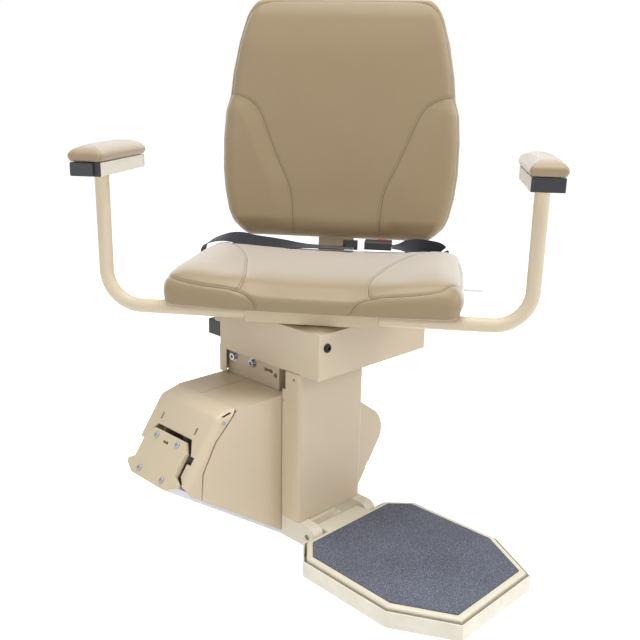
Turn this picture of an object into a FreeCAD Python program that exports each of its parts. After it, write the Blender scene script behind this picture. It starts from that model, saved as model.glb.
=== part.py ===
import FreeCAD, Part
import Sketcher
import math
import os
from types import SimpleNamespace
from FreeCAD import Placement, Rotation, Vector

# Stairlift chair on a short length of its inclined rail.
# Frame: X along the rail's horizontal run, Y towards the wall, Z up, millimetres.
# The origin is the middle of the rail's underside, where a stair bracket holds it.

doc = FreeCAD.newDocument("stairlift_chair")
sheet = doc.addObject("Spreadsheet::Sheet", "Sizes")

driving_sizes = [
    # Rail: an aluminium extrusion with a rolling groove in each side
    ("rail_incline", 35),
    ("rail_length", 452),
    ("rail_base_half", 50),
    ("rail_wing_half", 72),
    ("rail_wing_low", 13),
    ("rail_wing_top", 20),
    ("groove_floor", 26),
    ("groove_roof", 60),
    ("groove_half", 30),
    ("rail_flat_half", 60),
    ("rail_head_half", 57),
    ("rail_shoulder", 71),
    ("rail_crown_half", 42),
    ("rail_height", 87),
    ("rack_width", 20),
    ("rack_depth", 10),
    ("rail_core_half", 18),
    ("cap_thickness", 9),
    ("cap_margin", 2),
    ("end_screw_top_y", 31),
    ("end_screw_top_w", 78),
    ("end_screw_low_y", 34),
    ("end_screw_low_w", 13),
    ("end_screw_head", 5.5),
    # Drive
    ("gear_module", 3),
    ("pinion_teeth", 14),
    ("mesh_clearance", 0.8),
    ("gearbox_length", 76),
    ("gearbox_height", 96),
    ("motor_radius", 31),
    ("motor_height", 80),
    ("motor_gap", 1.5),
    # Rollers
    ("roller_offset", 165),
    ("load_roller_radius", 19),
    ("load_roller_width", 16),
    ("guide_roller_width", 22),
    ("roller_gap", 0.25),
    ("axle_radius", 5),
    # Chassis
    ("chassis_half_length", 195),
    ("chassis_half_width", 68),
    ("chassis_plate", 6),
    ("chassis_low", 30),
    ("tray_height", 134),
    ("deck_z", 226),
    ("battery_length", 136),
    ("battery_height", 94),
    # Carriage covers
    ("cover_half_width", 89),
    ("cover_wall", 3),
    ("cover_low", 10),
    ("cover_top", 307),
    ("roof_z", 258),
    ("roof_seam_y", 20),
    ("seam_gap", 1.2),
    ("hood_gap", 3),
    ("hood_face", 227),
    ("hood_seam", 195),
    ("hood_face_top", 150),
    ("runner_radius", 4),
    ("runner_w", 122),
    ("runner_reach", 24),
    ("lower_seam", 100),
    # Column and footrest
    ("column_x", 130),
    ("column_width", 170),
    ("column_front", -138),
    ("column_depth", 47),
    ("column_foot", 15),
    ("column_wall", 2.5),
    ("hinge_y", -161),
    ("hinge_z", -5),
    ("hinge_pin_radius", 6),
    ("lug_width", 25),
    ("lug_radius", 20),
    ("footrest_top", 8.5),
    ("footrest_thickness", 20),
    ("mat_thickness", 1.5),
    ("mat_recess", 11),
    ("pan_margin", 7),
    ("pan_floor", -28),
    ("pan_rim", 3),
    ("pan_wall", 2.5),
    # Housing under the seat
    ("housing_left", 47),
    ("housing_width", 300),
    ("housing_back", 94),
    ("housing_depth", 275),
    ("housing_low", 308),
    ("housing_high", 397),
    ("housing_wall", 2),
    ("housing_bevel", 24),
    ("housing_bevel_drop", 5),
    ("bracket_gap", 10),
    ("bracket_left", 58),
    ("bracket_right", 200),
    ("swivel_x", 197),
    ("swivel_y", -43),
    ("spindle_radius", 22),
    ("boss_wall", 9),
    ("bearing_radius", 55),
    # Seat, in its own frame: X across, Y towards the back, Z up
    ("seat_turn", -53.5),
    ("frame_half", 119),
    ("frame_front", -165),
    ("frame_back", 124),
    ("frame_low", 399.5),
    ("frame_top", 428),
    ("frame_wall", 4),
    ("tube_radius", 12.7),
    ("tube_wall", 2),
    ("arm_half", 379),
    ("arm_y", -147),
    ("arm_z", 413.3),
    ("arm_bend", 64),
    ("arm_top", 651.4),
    ("armrest_width", 53.5),
    ("armrest_length", 209),
    ("armrest_height", 23),
    ("armrest_lead", 67.5),
    ("armpad_height", 33),
    ("running_gap", 0.08),
    ("soft_gap", 0.3),
    ("seat_half", 262),
    ("seat_front", -190),
    ("seat_back", 150),
    ("seat_edge", 475),
    ("board_thickness", 8),
    ("seat_hinge_x", 100),
    ("seat_hinge_y", 136),
    ("seat_hinge_z", 437),
    ("hinge_ear_offset", 12),
    ("seat_pin_radius", 4),
    ("back_y", 158),
    ("back_z", 501),
    ("back_recline", 5),
    ("back_half", 248),
    ("back_height", 478),
    ("back_thickness", 46),
    ("shell_thickness", 10),
    ("lever_x", 85),
    ("lever_y", 94),
    ("lever_reach", 318),
    ("lever_width", 32),
    ("lever_thickness", 4),
    ("belt_thickness", 1.6),
    ("belt_width", 38),
    ("belt_back", 146),
    ("buckle_left", 66),
    ("buckle_length", 55),
    ("buckle_depth", 34),
    ("buckle_low", 485.5),
    ("buckle_height", 17),
    ("button_travel", 3),
    ("tongue_left", 20),
    ("tongue_width", 30),
]


class Size(float):
    """A number that remembers the sheet expression it was worked out with."""

    def __new__(cls, value, text):
        size = float.__new__(cls, value)
        size.text = text
        return size

    def __add__(self, other):
        return Size(float(self) + float(other), "(%s + %s)" % (self.text, text_of(other)))

    def __radd__(self, other):
        return Size(float(other) + float(self), "(%s + %s)" % (text_of(other), self.text))

    def __sub__(self, other):
        return Size(float(self) - float(other), "(%s - %s)" % (self.text, text_of(other)))

    def __rsub__(self, other):
        return Size(float(other) - float(self), "(%s - %s)" % (text_of(other), self.text))

    def __mul__(self, other):
        return Size(float(self) * float(other), "(%s * %s)" % (self.text, text_of(other)))

    def __rmul__(self, other):
        return Size(float(other) * float(self), "(%s * %s)" % (text_of(other), self.text))

    def __truediv__(self, other):
        return Size(float(self) / float(other), "(%s / %s)" % (self.text, text_of(other)))

    def __neg__(self):
        return Size(-float(self), "(-1 * %s)" % self.text)


def text_of(value):
    return value.text if isinstance(value, Size) else repr(float(value))


def sine(angle):
    return Size(math.sin(math.radians(angle)), "sin(%s * 1 deg)" % text_of(angle))


def cosine(angle):
    return Size(math.cos(math.radians(angle)), "cos(%s * 1 deg)" % text_of(angle))


s = SimpleNamespace()
for row, (alias, value) in enumerate(driving_sizes, start=1):
    sheet.set("A%d" % row, alias)
    sheet.set("B%d" % row, str(value))
    sheet.setAlias("B%d" % row, alias)
    setattr(s, alias, Size(value, "Sizes." + alias))
doc.recompute()

nodes = {}


def bind(obj, **sizes):
    """Set properties of an object and tie them to the sheet."""
    for name, size in sizes.items():
        path = name.replace("__", ".")
        if "." not in path:
            setattr(obj, path, float(size))
        if isinstance(size, Size):
            obj.setExpression(path, size.text)


def seat_at(obj, x, y, z):
    """Put an object's own origin at a point that is tied to the sheet."""
    obj.Placement = Placement(Vector(float(x), float(y), float(z)), obj.Placement.Rotation)
    for axis, size in zip("xyz", (x, y, z)):
        if isinstance(size, Size):
            obj.setExpression("Placement.Base." + axis, size.text)


def box(x, y, z):
    """A block between two coordinates along each axis."""
    block = doc.addObject("Part::Box", "block")
    bind(block, Length=x[1] - x[0], Width=y[1] - y[0], Height=z[1] - z[0])
    seat_at(block, x[0], y[0], z[0])
    return block


directions = {
    "x": Rotation(Vector(0, 1, 0), 90),
    "y": Rotation(Vector(1, 0, 0), -90),
    "z": Rotation(),
}


def rod(axis, start, stop, radius, across):
    """A round bar along one axis; across gives its other two coordinates."""
    bar = doc.addObject("Part::Cylinder", "rod")
    bind(bar, Radius=radius, Height=stop - start)
    bar.Placement = Placement(Vector(), directions[axis])
    place = {"x": (start, across[0], across[1]),
             "y": (across[0], start, across[1]),
             "z": (across[0], across[1], start)}[axis]
    seat_at(bar, *place)
    return bar


def cut(base, *tools):
    for tool in tools:
        result = doc.addObject("Part::Cut", "cut")
        result.Base = base
        result.Tool = tool
        base = result
    return base


def join(*pieces):
    result = doc.addObject("Part::MultiFuse", "joined")
    result.Shapes = list(pieces)
    return result


def group(*pieces):
    result = doc.addObject("Part::Compound", "group")
    result.Links = list(pieces)
    return result


planes = {"x": "YZ_Plane", "y": "XZ_Plane", "z": "XY_Plane"}


def sketch_on(body, axis, level):
    """A sketch square to an axis of the body, at a level along it."""
    drawing = body.newObject("Sketcher::SketchObject", "outline")
    plane = next(f for f in body.Origin.OriginFeatures if f.Role == planes[axis])
    drawing.AttachmentSupport = [(plane, "")]
    drawing.MapMode = "FlatFace"
    height = -level if axis == "y" else level
    drawing.AttachmentOffset = Placement(Vector(0, 0, float(height)), Rotation())
    if isinstance(height, Size):
        drawing.setExpression("AttachmentOffset.Base.z", height.text)
    return drawing


def draw_polygon(drawing, points):
    """Straight sides through points, with every corner's place constrained."""
    count = len(points)
    first = drawing.GeometryCount
    for i, (a, b) in enumerate(points):
        c, d = points[(i + 1) % count]
        start, end = Vector(float(a), float(b), 0), Vector(float(c), float(d), 0)
        drawing.addGeometry(Part.LineSegment(start, end))
    for i in range(count):
        following = first + (i + 1) % count
        drawing.addConstraint(Sketcher.Constraint("Coincident", first + i, 2, following, 1))
    for i, point in enumerate(points):
        for kind, size in zip(("DistanceX", "DistanceY"), point):
            constraint = Sketcher.Constraint(kind, first + i, 1, float(size))
            index = drawing.addConstraint(constraint)
            if isinstance(size, Size):
                drawing.setExpression("Constraints[%d]" % index, size.text)


def draw_circle(drawing, a, b, radius):
    place = Vector(float(a), float(b), 0)
    index = drawing.addGeometry(Part.Circle(place, Vector(0, 0, 1), float(radius)))
    for kind, size in (("DistanceX", a), ("DistanceY", b)):
        number = drawing.addConstraint(Sketcher.Constraint(kind, index, 3, float(size)))
        if isinstance(size, Size):
            drawing.setExpression("Constraints[%d]" % number, size.text)
    number = drawing.addConstraint(Sketcher.Constraint("Radius", index, float(radius)))
    if isinstance(radius, Size):
        drawing.setExpression("Constraints[%d]" % number, radius.text)


def prism(axis, span, points, holes=()):
    """A body whose outline is padded between two levels along an axis."""
    body = doc.addObject("PartDesign::Body", "body")
    start, stop = span
    drawing = sketch_on(body, axis, stop if axis == "y" else start)
    draw_polygon(drawing, points)
    for hole in holes:
        draw_circle(drawing, *hole)
    pad = body.newObject("PartDesign::Pad", "pad")
    pad.Profile = drawing
    bind(pad, Length=stop - start)
    return body


def edges_where(shape, test):
    return [i + 1 for i, edge in enumerate(shape.Edges) if test(edge)]


def along(axis):
    """Tests that an edge is straight and runs along one axis."""
    way = {"x": Vector(1, 0, 0), "y": Vector(0, 1, 0), "z": Vector(0, 0, 1)}[axis]

    def test(edge):
        if edge.Curve.TypeId != "Part::GeomLine":
            return False
        return abs(abs(edge.tangentAt(edge.FirstParameter).dot(way)) - 1) < 1e-6
    return test


def rounded(obj, radius, test):
    """The object with the chosen edges rounded."""
    doc.recompute()
    if obj.TypeId == "PartDesign::Body":
        tip = obj.Tip
        fillet = obj.newObject("PartDesign::Fillet", "fillet")
        fillet.Base = (tip, ["Edge%d" % i for i in edges_where(tip.Shape, test)])
        bind(fillet, Radius=radius)
        doc.recompute()
        return obj
    fillet = doc.addObject("Part::Fillet", "fillet")
    fillet.Base = obj
    fillet.Edges = [(i, float(radius), float(radius)) for i in edges_where(obj.Shape, test)]
    doc.recompute()
    return fillet


def placed(obj, placement):
    """The object moved into a frame, over any place of its own tied to the sheet."""
    if obj.ExpressionEngine:
        obj = group(obj)
    obj.Placement = placement.multiply(obj.Placement)
    return obj


def sub_part(name, obj, placement=None):
    """Name a finished piece; its label is its node's name."""
    if placement is not None:
        obj = placed(obj, placement)
    obj.Label = name
    nodes[name] = obj
    return obj


def feature(name, shape, placement=None):
    """A piece whose free-form shape is made with the kernel's own functions."""
    obj = doc.addObject("Part::Feature", "form")
    obj.Shape = shape
    obj.Placement = placement if placement is not None else Placement()
    return sub_part(name, obj)


rail_frame = Placement(Vector(), Rotation(Vector(0, 1, 0), float(s.rail_incline)))
seat_frame = Placement(Vector(float(s.swivel_x), float(s.swivel_y), 0),
                       Rotation(Vector(0, 0, 1), float(s.seat_turn)))
back_frame = seat_frame.multiply(
    Placement(Vector(0, float(s.back_y), float(s.back_z)),
              Rotation(Vector(1, 0, 0), -float(s.back_recline))))


def on_rail(x, z):
    """A point of the upright frame as distance down the rail and height off it."""
    run, rise = cosine(s.rail_incline), sine(s.rail_incline)
    return x * run - z * rise, x * rise + z * run


def mirrored(points):
    """A half outline from bottom to top, closed by its mirror image."""
    return list(points) + [(-a, b) for a, b in reversed(points)]


# Rail section: rolling grooves in its sides, the rack's slot along its crown,
# a hollow core and four screw ports for the end caps
rail_profile = mirrored([
    (s.rail_base_half, 0.0),
    (s.rail_wing_half, s.rail_wing_low),
    (s.rail_wing_half, s.rail_wing_top),
    (s.rail_flat_half, s.groove_floor),
    (s.groove_half, s.groove_floor),
    (s.groove_half, s.groove_roof),
    (s.rail_head_half, s.groove_roof),
    (s.rail_head_half, s.rail_shoulder),
    (s.rail_crown_half, s.rail_height),
    (s.rack_width / 2, s.rail_height),
    (s.rack_width / 2, s.rail_height - s.rack_depth),
])
port_radius = s.end_screw_head * 0.45
end_screw_places = [
    (s.end_screw_top_y, s.end_screw_top_w),
    (-s.end_screw_top_y, s.end_screw_top_w),
    (s.end_screw_low_y, s.end_screw_low_w),
    (-s.end_screw_low_y, s.end_screw_low_w),
]
rail_end = s.rail_length / 2
rail = prism("x", (-rail_end, rail_end), rail_profile,
             holes=[(a, b, port_radius) for a, b in end_screw_places])
core_low = s.groove_floor + 6
core_high = s.groove_roof + 6
core = box((-rail_end - 1, rail_end + 1), (-s.rail_core_half, s.rail_core_half),
           (core_low, core_high))
sub_part("rail_section", cut(rail, core), rail_frame)

# Gear rack: straight teeth in the crown's slot, clear of the slot's sides
tooth_pitch = s.gear_module * math.pi
tooth_height = s.gear_module * 2
tooth_count = int(float(s.rail_length / tooth_pitch / 2)) * 2 - 2
rack_top = s.rail_height
rack_low = s.rail_height - s.rack_depth
rack_half = s.rack_width / 2 - s.running_gap
rack_start = tooth_pitch * (-tooth_count / 2)
rack = prism("y", (-rack_half, rack_half), [
    (rack_start, rack_low),
    (rack_start + tooth_pitch * tooth_count, rack_low),
    (rack_start + tooth_pitch * tooth_count, rack_top - tooth_height),
    (rack_start, rack_top - tooth_height),
])
tooth_drawing = sketch_on(rack, "y", rack_half)
draw_polygon(tooth_drawing, [
    (rack_start + tooth_pitch * 0.24, rack_top - tooth_height),
    (rack_start + tooth_pitch * 0.76, rack_top - tooth_height),
    (rack_start + tooth_pitch * 0.62, rack_top),
    (rack_start + tooth_pitch * 0.38, rack_top),
])
rack_tooth = rack.newObject("PartDesign::Pad", "tooth")
rack_tooth.Profile = tooth_drawing
bind(rack_tooth, Length=rack_half * 2)
doc.recompute()
rack_teeth = rack.newObject("PartDesign::LinearPattern", "teeth")
rack_teeth.Originals = [rack_tooth]
rack_teeth.Direction = (tooth_drawing, ["H_Axis"])
bind(rack_teeth, Length=tooth_pitch * (tooth_count - 1))
rack_teeth.Occurrences = tooth_count
rack.Tip = rack_teeth
sub_part("gear_rack", rack, rail_frame)

# End caps: flat plates that close both ends of the rail, flush with its wings
cap_profile = mirrored([
    (s.rail_base_half, 0.0),
    (s.rail_wing_half + s.cap_margin, s.rail_wing_low),
    (s.rail_wing_half + s.cap_margin, s.rail_wing_top),
    (s.rail_flat_half, s.groove_floor + s.cap_margin),
    (s.rail_flat_half, s.rail_shoulder),
    (s.rail_crown_half + s.cap_margin, s.rail_height + s.cap_margin),
])
caps = []
for side in (-1, 1):
    inner, outer = side * rail_end, side * (rail_end + s.cap_thickness)
    span = (outer, inner) if side < 0 else (inner, outer)
    contact_w = s.end_screw_top_w - 5
    cap = prism("x", span, cap_profile,
                holes=[(a, b, port_radius) for a, b in end_screw_places])
    cap = rounded(cap, 3, lambda edge: along("x")(edge))
    slot = join(rod("x", span[0] - 1, span[1] + 1, 3.2, (-4, contact_w)),
                rod("x", span[0] - 1, span[1] + 1, 3.2, (4, contact_w)),
                box((span[0] - 1, span[1] + 1), (-4, 4), (contact_w - 1.6, contact_w + 1.6)))
    caps.append(cut(cap, slot))
sub_part("rail_end_caps", group(*caps), rail_frame)

# End screws: cross-head pan screws, four to a cap
screws = []
for side in (-1, 1):
    face = side * (rail_end + s.cap_thickness)
    for across, up in end_screw_places:
        head = (face - 2.6, face) if side < 0 else (face, face + 2.6)
        shank = (face, face + 24) if side < 0 else (face - 24, face)
        dome = rounded(rod("x", head[0], head[1], s.end_screw_head, (across, up)), 1.2,
                       lambda edge, f=face: abs(edge.BoundBox.XMin - float(f)) > 1
                       and edge.Curve.TypeId == "Part::GeomCircle")
        body = join(dome, rod("x", shank[0], shank[1], port_radius - 0.1, (across, up)))
        slot_depth = (head[0] - 1, head[0] + 1.6) if side < 0 else (head[1] - 1.6, head[1] + 1)
        cross = join(box(slot_depth, (across - 2.6, across + 2.6), (up - 0.6, up + 0.6)),
                     box(slot_depth, (across - 0.6, across + 0.6), (up - 2.6, up + 2.6)))
        screws.append(cut(body, cross))
sub_part("rail_end_screws", group(*screws), rail_frame)

# Chassis: two side plates raised in the middle to a level deck, tied by trays
deck_left = on_rail(s.bracket_left, s.deck_z)
deck_right = on_rail(s.bracket_right, s.deck_z)
plate_profile = [
    (-s.chassis_half_length, s.chassis_low),
    (s.chassis_half_length, s.chassis_low),
    (s.chassis_half_length, s.cover_top - 55),
    (s.chassis_half_length - 45, deck_right[1]),
    deck_right,
    deck_left,
    (-s.chassis_half_length, s.hood_face_top + 8),
]
guide_w = (s.groove_floor + s.groove_roof) / 2
load_w = s.rail_height + s.load_roller_radius + s.roller_gap
plate_in = s.chassis_half_width - s.chassis_plate
plates = []
for span in ((-s.chassis_half_width, -plate_in), (plate_in, s.chassis_half_width)):
    plates.append(prism("y", span, plate_profile, holes=[
        (side * s.roller_offset, up, s.axle_radius)
        for side in (-1, 1) for up in (guide_w, load_w)]))
tray_end = s.chassis_half_length - 5
tray_span = (s.tray_height, s.tray_height + s.chassis_plate)
gearbox_half = s.gearbox_length / 2
trays = [box((-tray_end, -gearbox_half - 12), (-plate_in, plate_in), tray_span),
         box((gearbox_half + 12, tray_end), (-plate_in, plate_in), tray_span)]
inner_y = s.cover_half_width - s.cover_wall
runner_y = (s.chassis_half_width + inner_y) / 2
standoffs = []
for side in (-1, 1):
    plate_face, cover_face = side * s.chassis_half_width, side * inner_y
    span = (cover_face, plate_face) if side < 0 else (plate_face, cover_face)
    for place in ((-150, 60), (60, 60), (-60, 190), (60, 270)):
        standoffs.append(rod("y", span[0], span[1], 6, place))
# Runners: rods at the chassis ends on which the hoods slide
runners = []
for end in (-1, 1):
    for side in (-1, 1):
        near, far = end * s.chassis_half_length, end * (s.chassis_half_length + s.runner_reach)
        block_u = sorted((near - end * 15, near))
        block_y = sorted((side * plate_in, side * (runner_y + s.runner_radius)))
        runners.append(box(block_u, block_y, (s.runner_w - 7, s.runner_w + 7)))
        runners.append(rod("x", *sorted((near, far)), s.runner_radius,
                           (side * runner_y, s.runner_w)))
sub_part("chassis", join(*plates, *trays, *standoffs, *runners), rail_frame)

# Roller axles: through bars for the load rollers, stubs for the guide rollers
groove_mouth = s.groove_half + 3
axles = []
for side in (-1, 1):
    place = side * s.roller_offset
    axles.append(rod("y", -s.chassis_half_width - 2, s.chassis_half_width + 2,
                     s.axle_radius, (place, load_w)))
    for start, stop in ((-s.chassis_half_width - 2, -groove_mouth),
                        (groove_mouth, s.chassis_half_width + 2)):
        axles.append(rod("y", start, stop, s.axle_radius, (place, guide_w)))
sub_part("roller_axles", group(*axles), rail_frame)

# Rollers: the load rollers run on the crown beside the rack, the guide rollers
# run in the side grooves and keep the chair from tipping off the rail
guide_radius = (s.groove_roof - s.groove_floor) / 2 - s.roller_gap
bore = s.axle_radius + s.running_gap
load_in = s.rack_width / 2 + 3
for end, side in (("upper", -1), ("lower", 1)):
    place = side * s.roller_offset
    tread = rod("y", -load_in - s.load_roller_width, load_in + s.load_roller_width,
                s.load_roller_radius, (place, load_w))
    waist = cut(rod("y", -load_in, load_in, s.load_roller_radius + 1, (place, load_w)),
                rod("y", -load_in, load_in, s.load_roller_radius - 7, (place, load_w)))
    hole = rod("y", -load_in - s.load_roller_width - 1, load_in + s.load_roller_width + 1,
               bore, (place, load_w))
    sub_part(end + "_load_roller", cut(tread, waist, hole), rail_frame)
    wheels = []
    for start, stop in ((-groove_mouth - s.guide_roller_width, -groove_mouth),
                        (groove_mouth, groove_mouth + s.guide_roller_width)):
        wheel = rod("y", start, stop, guide_radius, (place, guide_w))
        hole = rod("y", start - 1, stop + 1, bore, (place, guide_w))
        wheels.append(cut(wheel, hole))
    sub_part(end + "_guide_rollers", group(*wheels), rail_frame)

# Drive: the pinion's shaft turns in the gearbox, which bolts to the rear plate
pitch_radius = s.gear_module * s.pinion_teeth / 2
pinion_w = s.rail_height - s.gear_module + pitch_radius + s.mesh_clearance
shaft_radius = s.gear_module * 2.4
root_radius = pitch_radius - s.gear_module * 1.25
tip_radius = pitch_radius + s.gear_module
pinion = doc.addObject("PartDesign::Body", "pinion")
rim_drawing = sketch_on(pinion, "y", rack_half)
draw_circle(rim_drawing, 0.0, 0.0, root_radius)
rim = pinion.newObject("PartDesign::Pad", "rim")
rim.Profile = rim_drawing
bind(rim, Length=rack_half * 2)
gear_drawing = sketch_on(pinion, "y", rack_half)
draw_polygon(gear_drawing, [
    (-tooth_pitch * 0.25, root_radius - 1),
    (tooth_pitch * 0.25, root_radius - 1),
    (tooth_pitch * 0.09, tip_radius),
    (-tooth_pitch * 0.09, tip_radius),
])
gear_tooth = pinion.newObject("PartDesign::Pad", "tooth")
gear_tooth.Profile = gear_drawing
bind(gear_tooth, Length=rack_half * 2)
doc.recompute()
gear_teeth = pinion.newObject("PartDesign::PolarPattern", "teeth")
gear_teeth.Originals = [gear_tooth]
gear_teeth.Axis = (gear_drawing, ["N_Axis"])
gear_teeth.Angle = 360
gear_teeth.Occurrences = int(s.pinion_teeth)
pinion.Tip = gear_teeth
seat_at(pinion, 0.0, 0.0, pinion_w)
gearbox_y = s.rack_width / 2 + 2
shaft = rod("y", -rack_half - 3, gearbox_y + 14, shaft_radius, (0.0, pinion_w))
sub_part("drive_pinion", join(pinion, shaft), rail_frame)

gearbox_low = s.rail_height + 5
gearbox_high = gearbox_low + s.gearbox_height
casing = box((-gearbox_half, gearbox_half), (gearbox_y, plate_in), (gearbox_low, gearbox_high))
casing = rounded(casing, 6, along("y"))
shaft_hole = rod("y", gearbox_y - 1, gearbox_y + 15, shaft_radius + s.running_gap,
                 (0.0, pinion_w))
sub_part("gearbox", cut(casing, shaft_hole), rail_frame)

motor_y = plate_in - s.motor_radius - 2 - s.motor_gap
can = rod("z", gearbox_high, gearbox_high + s.motor_height, s.motor_radius, (0.0, motor_y))
rim_band = rod("z", gearbox_high, gearbox_high + 8, s.motor_radius + 2, (0.0, motor_y))
sub_part("drive_motor", join(can, rim_band), rail_frame)

# Batteries and control box on the lower tray
battery_x = (tray_end - s.battery_length, tray_end)
battery_z = (tray_span[1], tray_span[1] + s.battery_height)
cells = []
for span in ((-plate_in + 1, -1.0), (1.0, plate_in - 1)):
    cell = rounded(box(battery_x, span, battery_z), 2, along("z"))
    terminals = [rod("z", battery_z[1], battery_z[1] + 4, 4,
                     (place, (span[0] + span[1]) / 2))
                 for place in (battery_x[0] + 14, battery_x[1] - 14)]
    cells.append(join(cell, *terminals))
sub_part("batteries", group(*cells), rail_frame)
board_low = battery_z[1] + 5
control = box((battery_x[0], battery_x[1] - 20), (-plate_in, plate_in),
              (board_low, board_low + 42))
sub_part("control_box", rounded(control, 3, along("z")), rail_frame)

# Carriage covers: one side profile, square to the rail at both ends, with a
# level roof that turns down along the rail at the lower end
tangent = sine(s.rail_incline) / cosine(s.rail_incline)


def roof_height(u):
    """Height off the rail of the level roof, at a distance down the rail."""
    return s.roof_z / cosine(s.rail_incline) + u * tangent


ridge = (s.cover_top - roof_height(0.0)) / tangent
seam_profile = [
    (-s.hood_seam + 18, s.cover_low),
    (-s.hood_seam - 7, s.cover_low + 42),
    (-s.hood_seam - 13, s.cover_low + 100),
    (-s.hood_seam, roof_height(-s.hood_seam)),
]


body_outer = list(seam_profile) + [
    (ridge, s.cover_top),
    (s.lower_seam, s.cover_top),
    (s.lower_seam, s.cover_low),
]
roof_drop = s.cover_wall / cosine(s.rail_incline)
body_inner = [
    (-s.hood_seam - 30, s.cover_low - 20),
    (-s.hood_seam - 30, roof_height(-s.hood_seam - 30) - roof_drop),
    (ridge, s.cover_top - roof_drop),
    (s.lower_seam + 1, s.cover_top - roof_drop),
    (s.lower_seam + 1, s.cover_low - 20),
]
outer_y = s.cover_half_width
window_x = (s.bracket_left - 2, s.bracket_right + 6)
window_z = (s.roof_z - 30, s.housing_low + 20)


cover_halves = {
    "front_cover": ((-outer_y, s.roof_seam_y), (-inner_y, s.roof_seam_y + 1),
                    (-s.chassis_half_width - 4, s.roof_seam_y + 5)),
    "rear_cover": ((s.roof_seam_y + s.seam_gap, outer_y),
                   (s.roof_seam_y - 1, inner_y),
                   (s.roof_seam_y - 5, inner_y + 0.5)),
}
for name, (outside, inside, window_y) in cover_halves.items():
    shell = prism("y", outside, body_outer)
    hollow = prism("y", inside, body_inner)
    opening = doc.addObject("Part::Box", "window")
    bind(opening, Length=window_x[1] - window_x[0], Width=window_y[1] - window_y[0],
         Height=window_z[1] - window_z[0])
    opening.Placement = rail_frame.inverse().multiply(
        Placement(Vector(float(window_x[0]), float(window_y[0]), float(window_z[0])),
                  Rotation()))
    sub_part(name, cut(shell, hollow, opening), rail_frame)

# Hoods: safety covers over both ends, which give when they touch something.
# The rail passes through the opening in each face.
wall = s.cover_wall
upper_hood_outer = [(u - s.hood_gap, w) for u, w in seam_profile] + [
    (-s.hood_seam - 12, roof_height(-s.hood_seam - 12) + 2),
    (-s.hood_face, s.hood_face_top),
    (-s.hood_face, s.cover_low + 10),
    (-s.hood_face + 18, s.cover_low),
]
upper_hood_inner = [
    (-s.hood_seam + 60, s.cover_low - 20),
    (-s.hood_seam + 60, roof_height(-s.hood_seam - 12) - roof_drop),
    (-s.hood_seam - 12, roof_height(-s.hood_seam - 12) - wall),
    (-s.hood_face + wall, s.hood_face_top - 2),
    (-s.hood_face + wall, s.cover_low - 20),
]
lower_edge = s.lower_seam + s.hood_gap
lower_hood_outer = [
    (lower_edge, s.cover_low),
    (s.hood_face - 18, s.cover_low),
    (s.hood_face, s.cover_low + 10),
    (s.hood_face, s.cover_top),
    (lower_edge, s.cover_top),
]
lower_hood_inner = [
    (lower_edge - 5, s.cover_low - 20),
    (s.hood_face - wall, s.cover_low - 20),
    (s.hood_face - wall, s.cover_top - wall),
    (lower_edge - 5, s.cover_top - wall),
]
rail_gap = 8
wing_gap = 3
wing_half = s.rail_wing_half + s.cap_margin + wing_gap
opening_half = s.rail_flat_half + rail_gap - 2
opening_shoulder = s.rail_shoulder + 1
leg_end = opening_shoulder - 9


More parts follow.
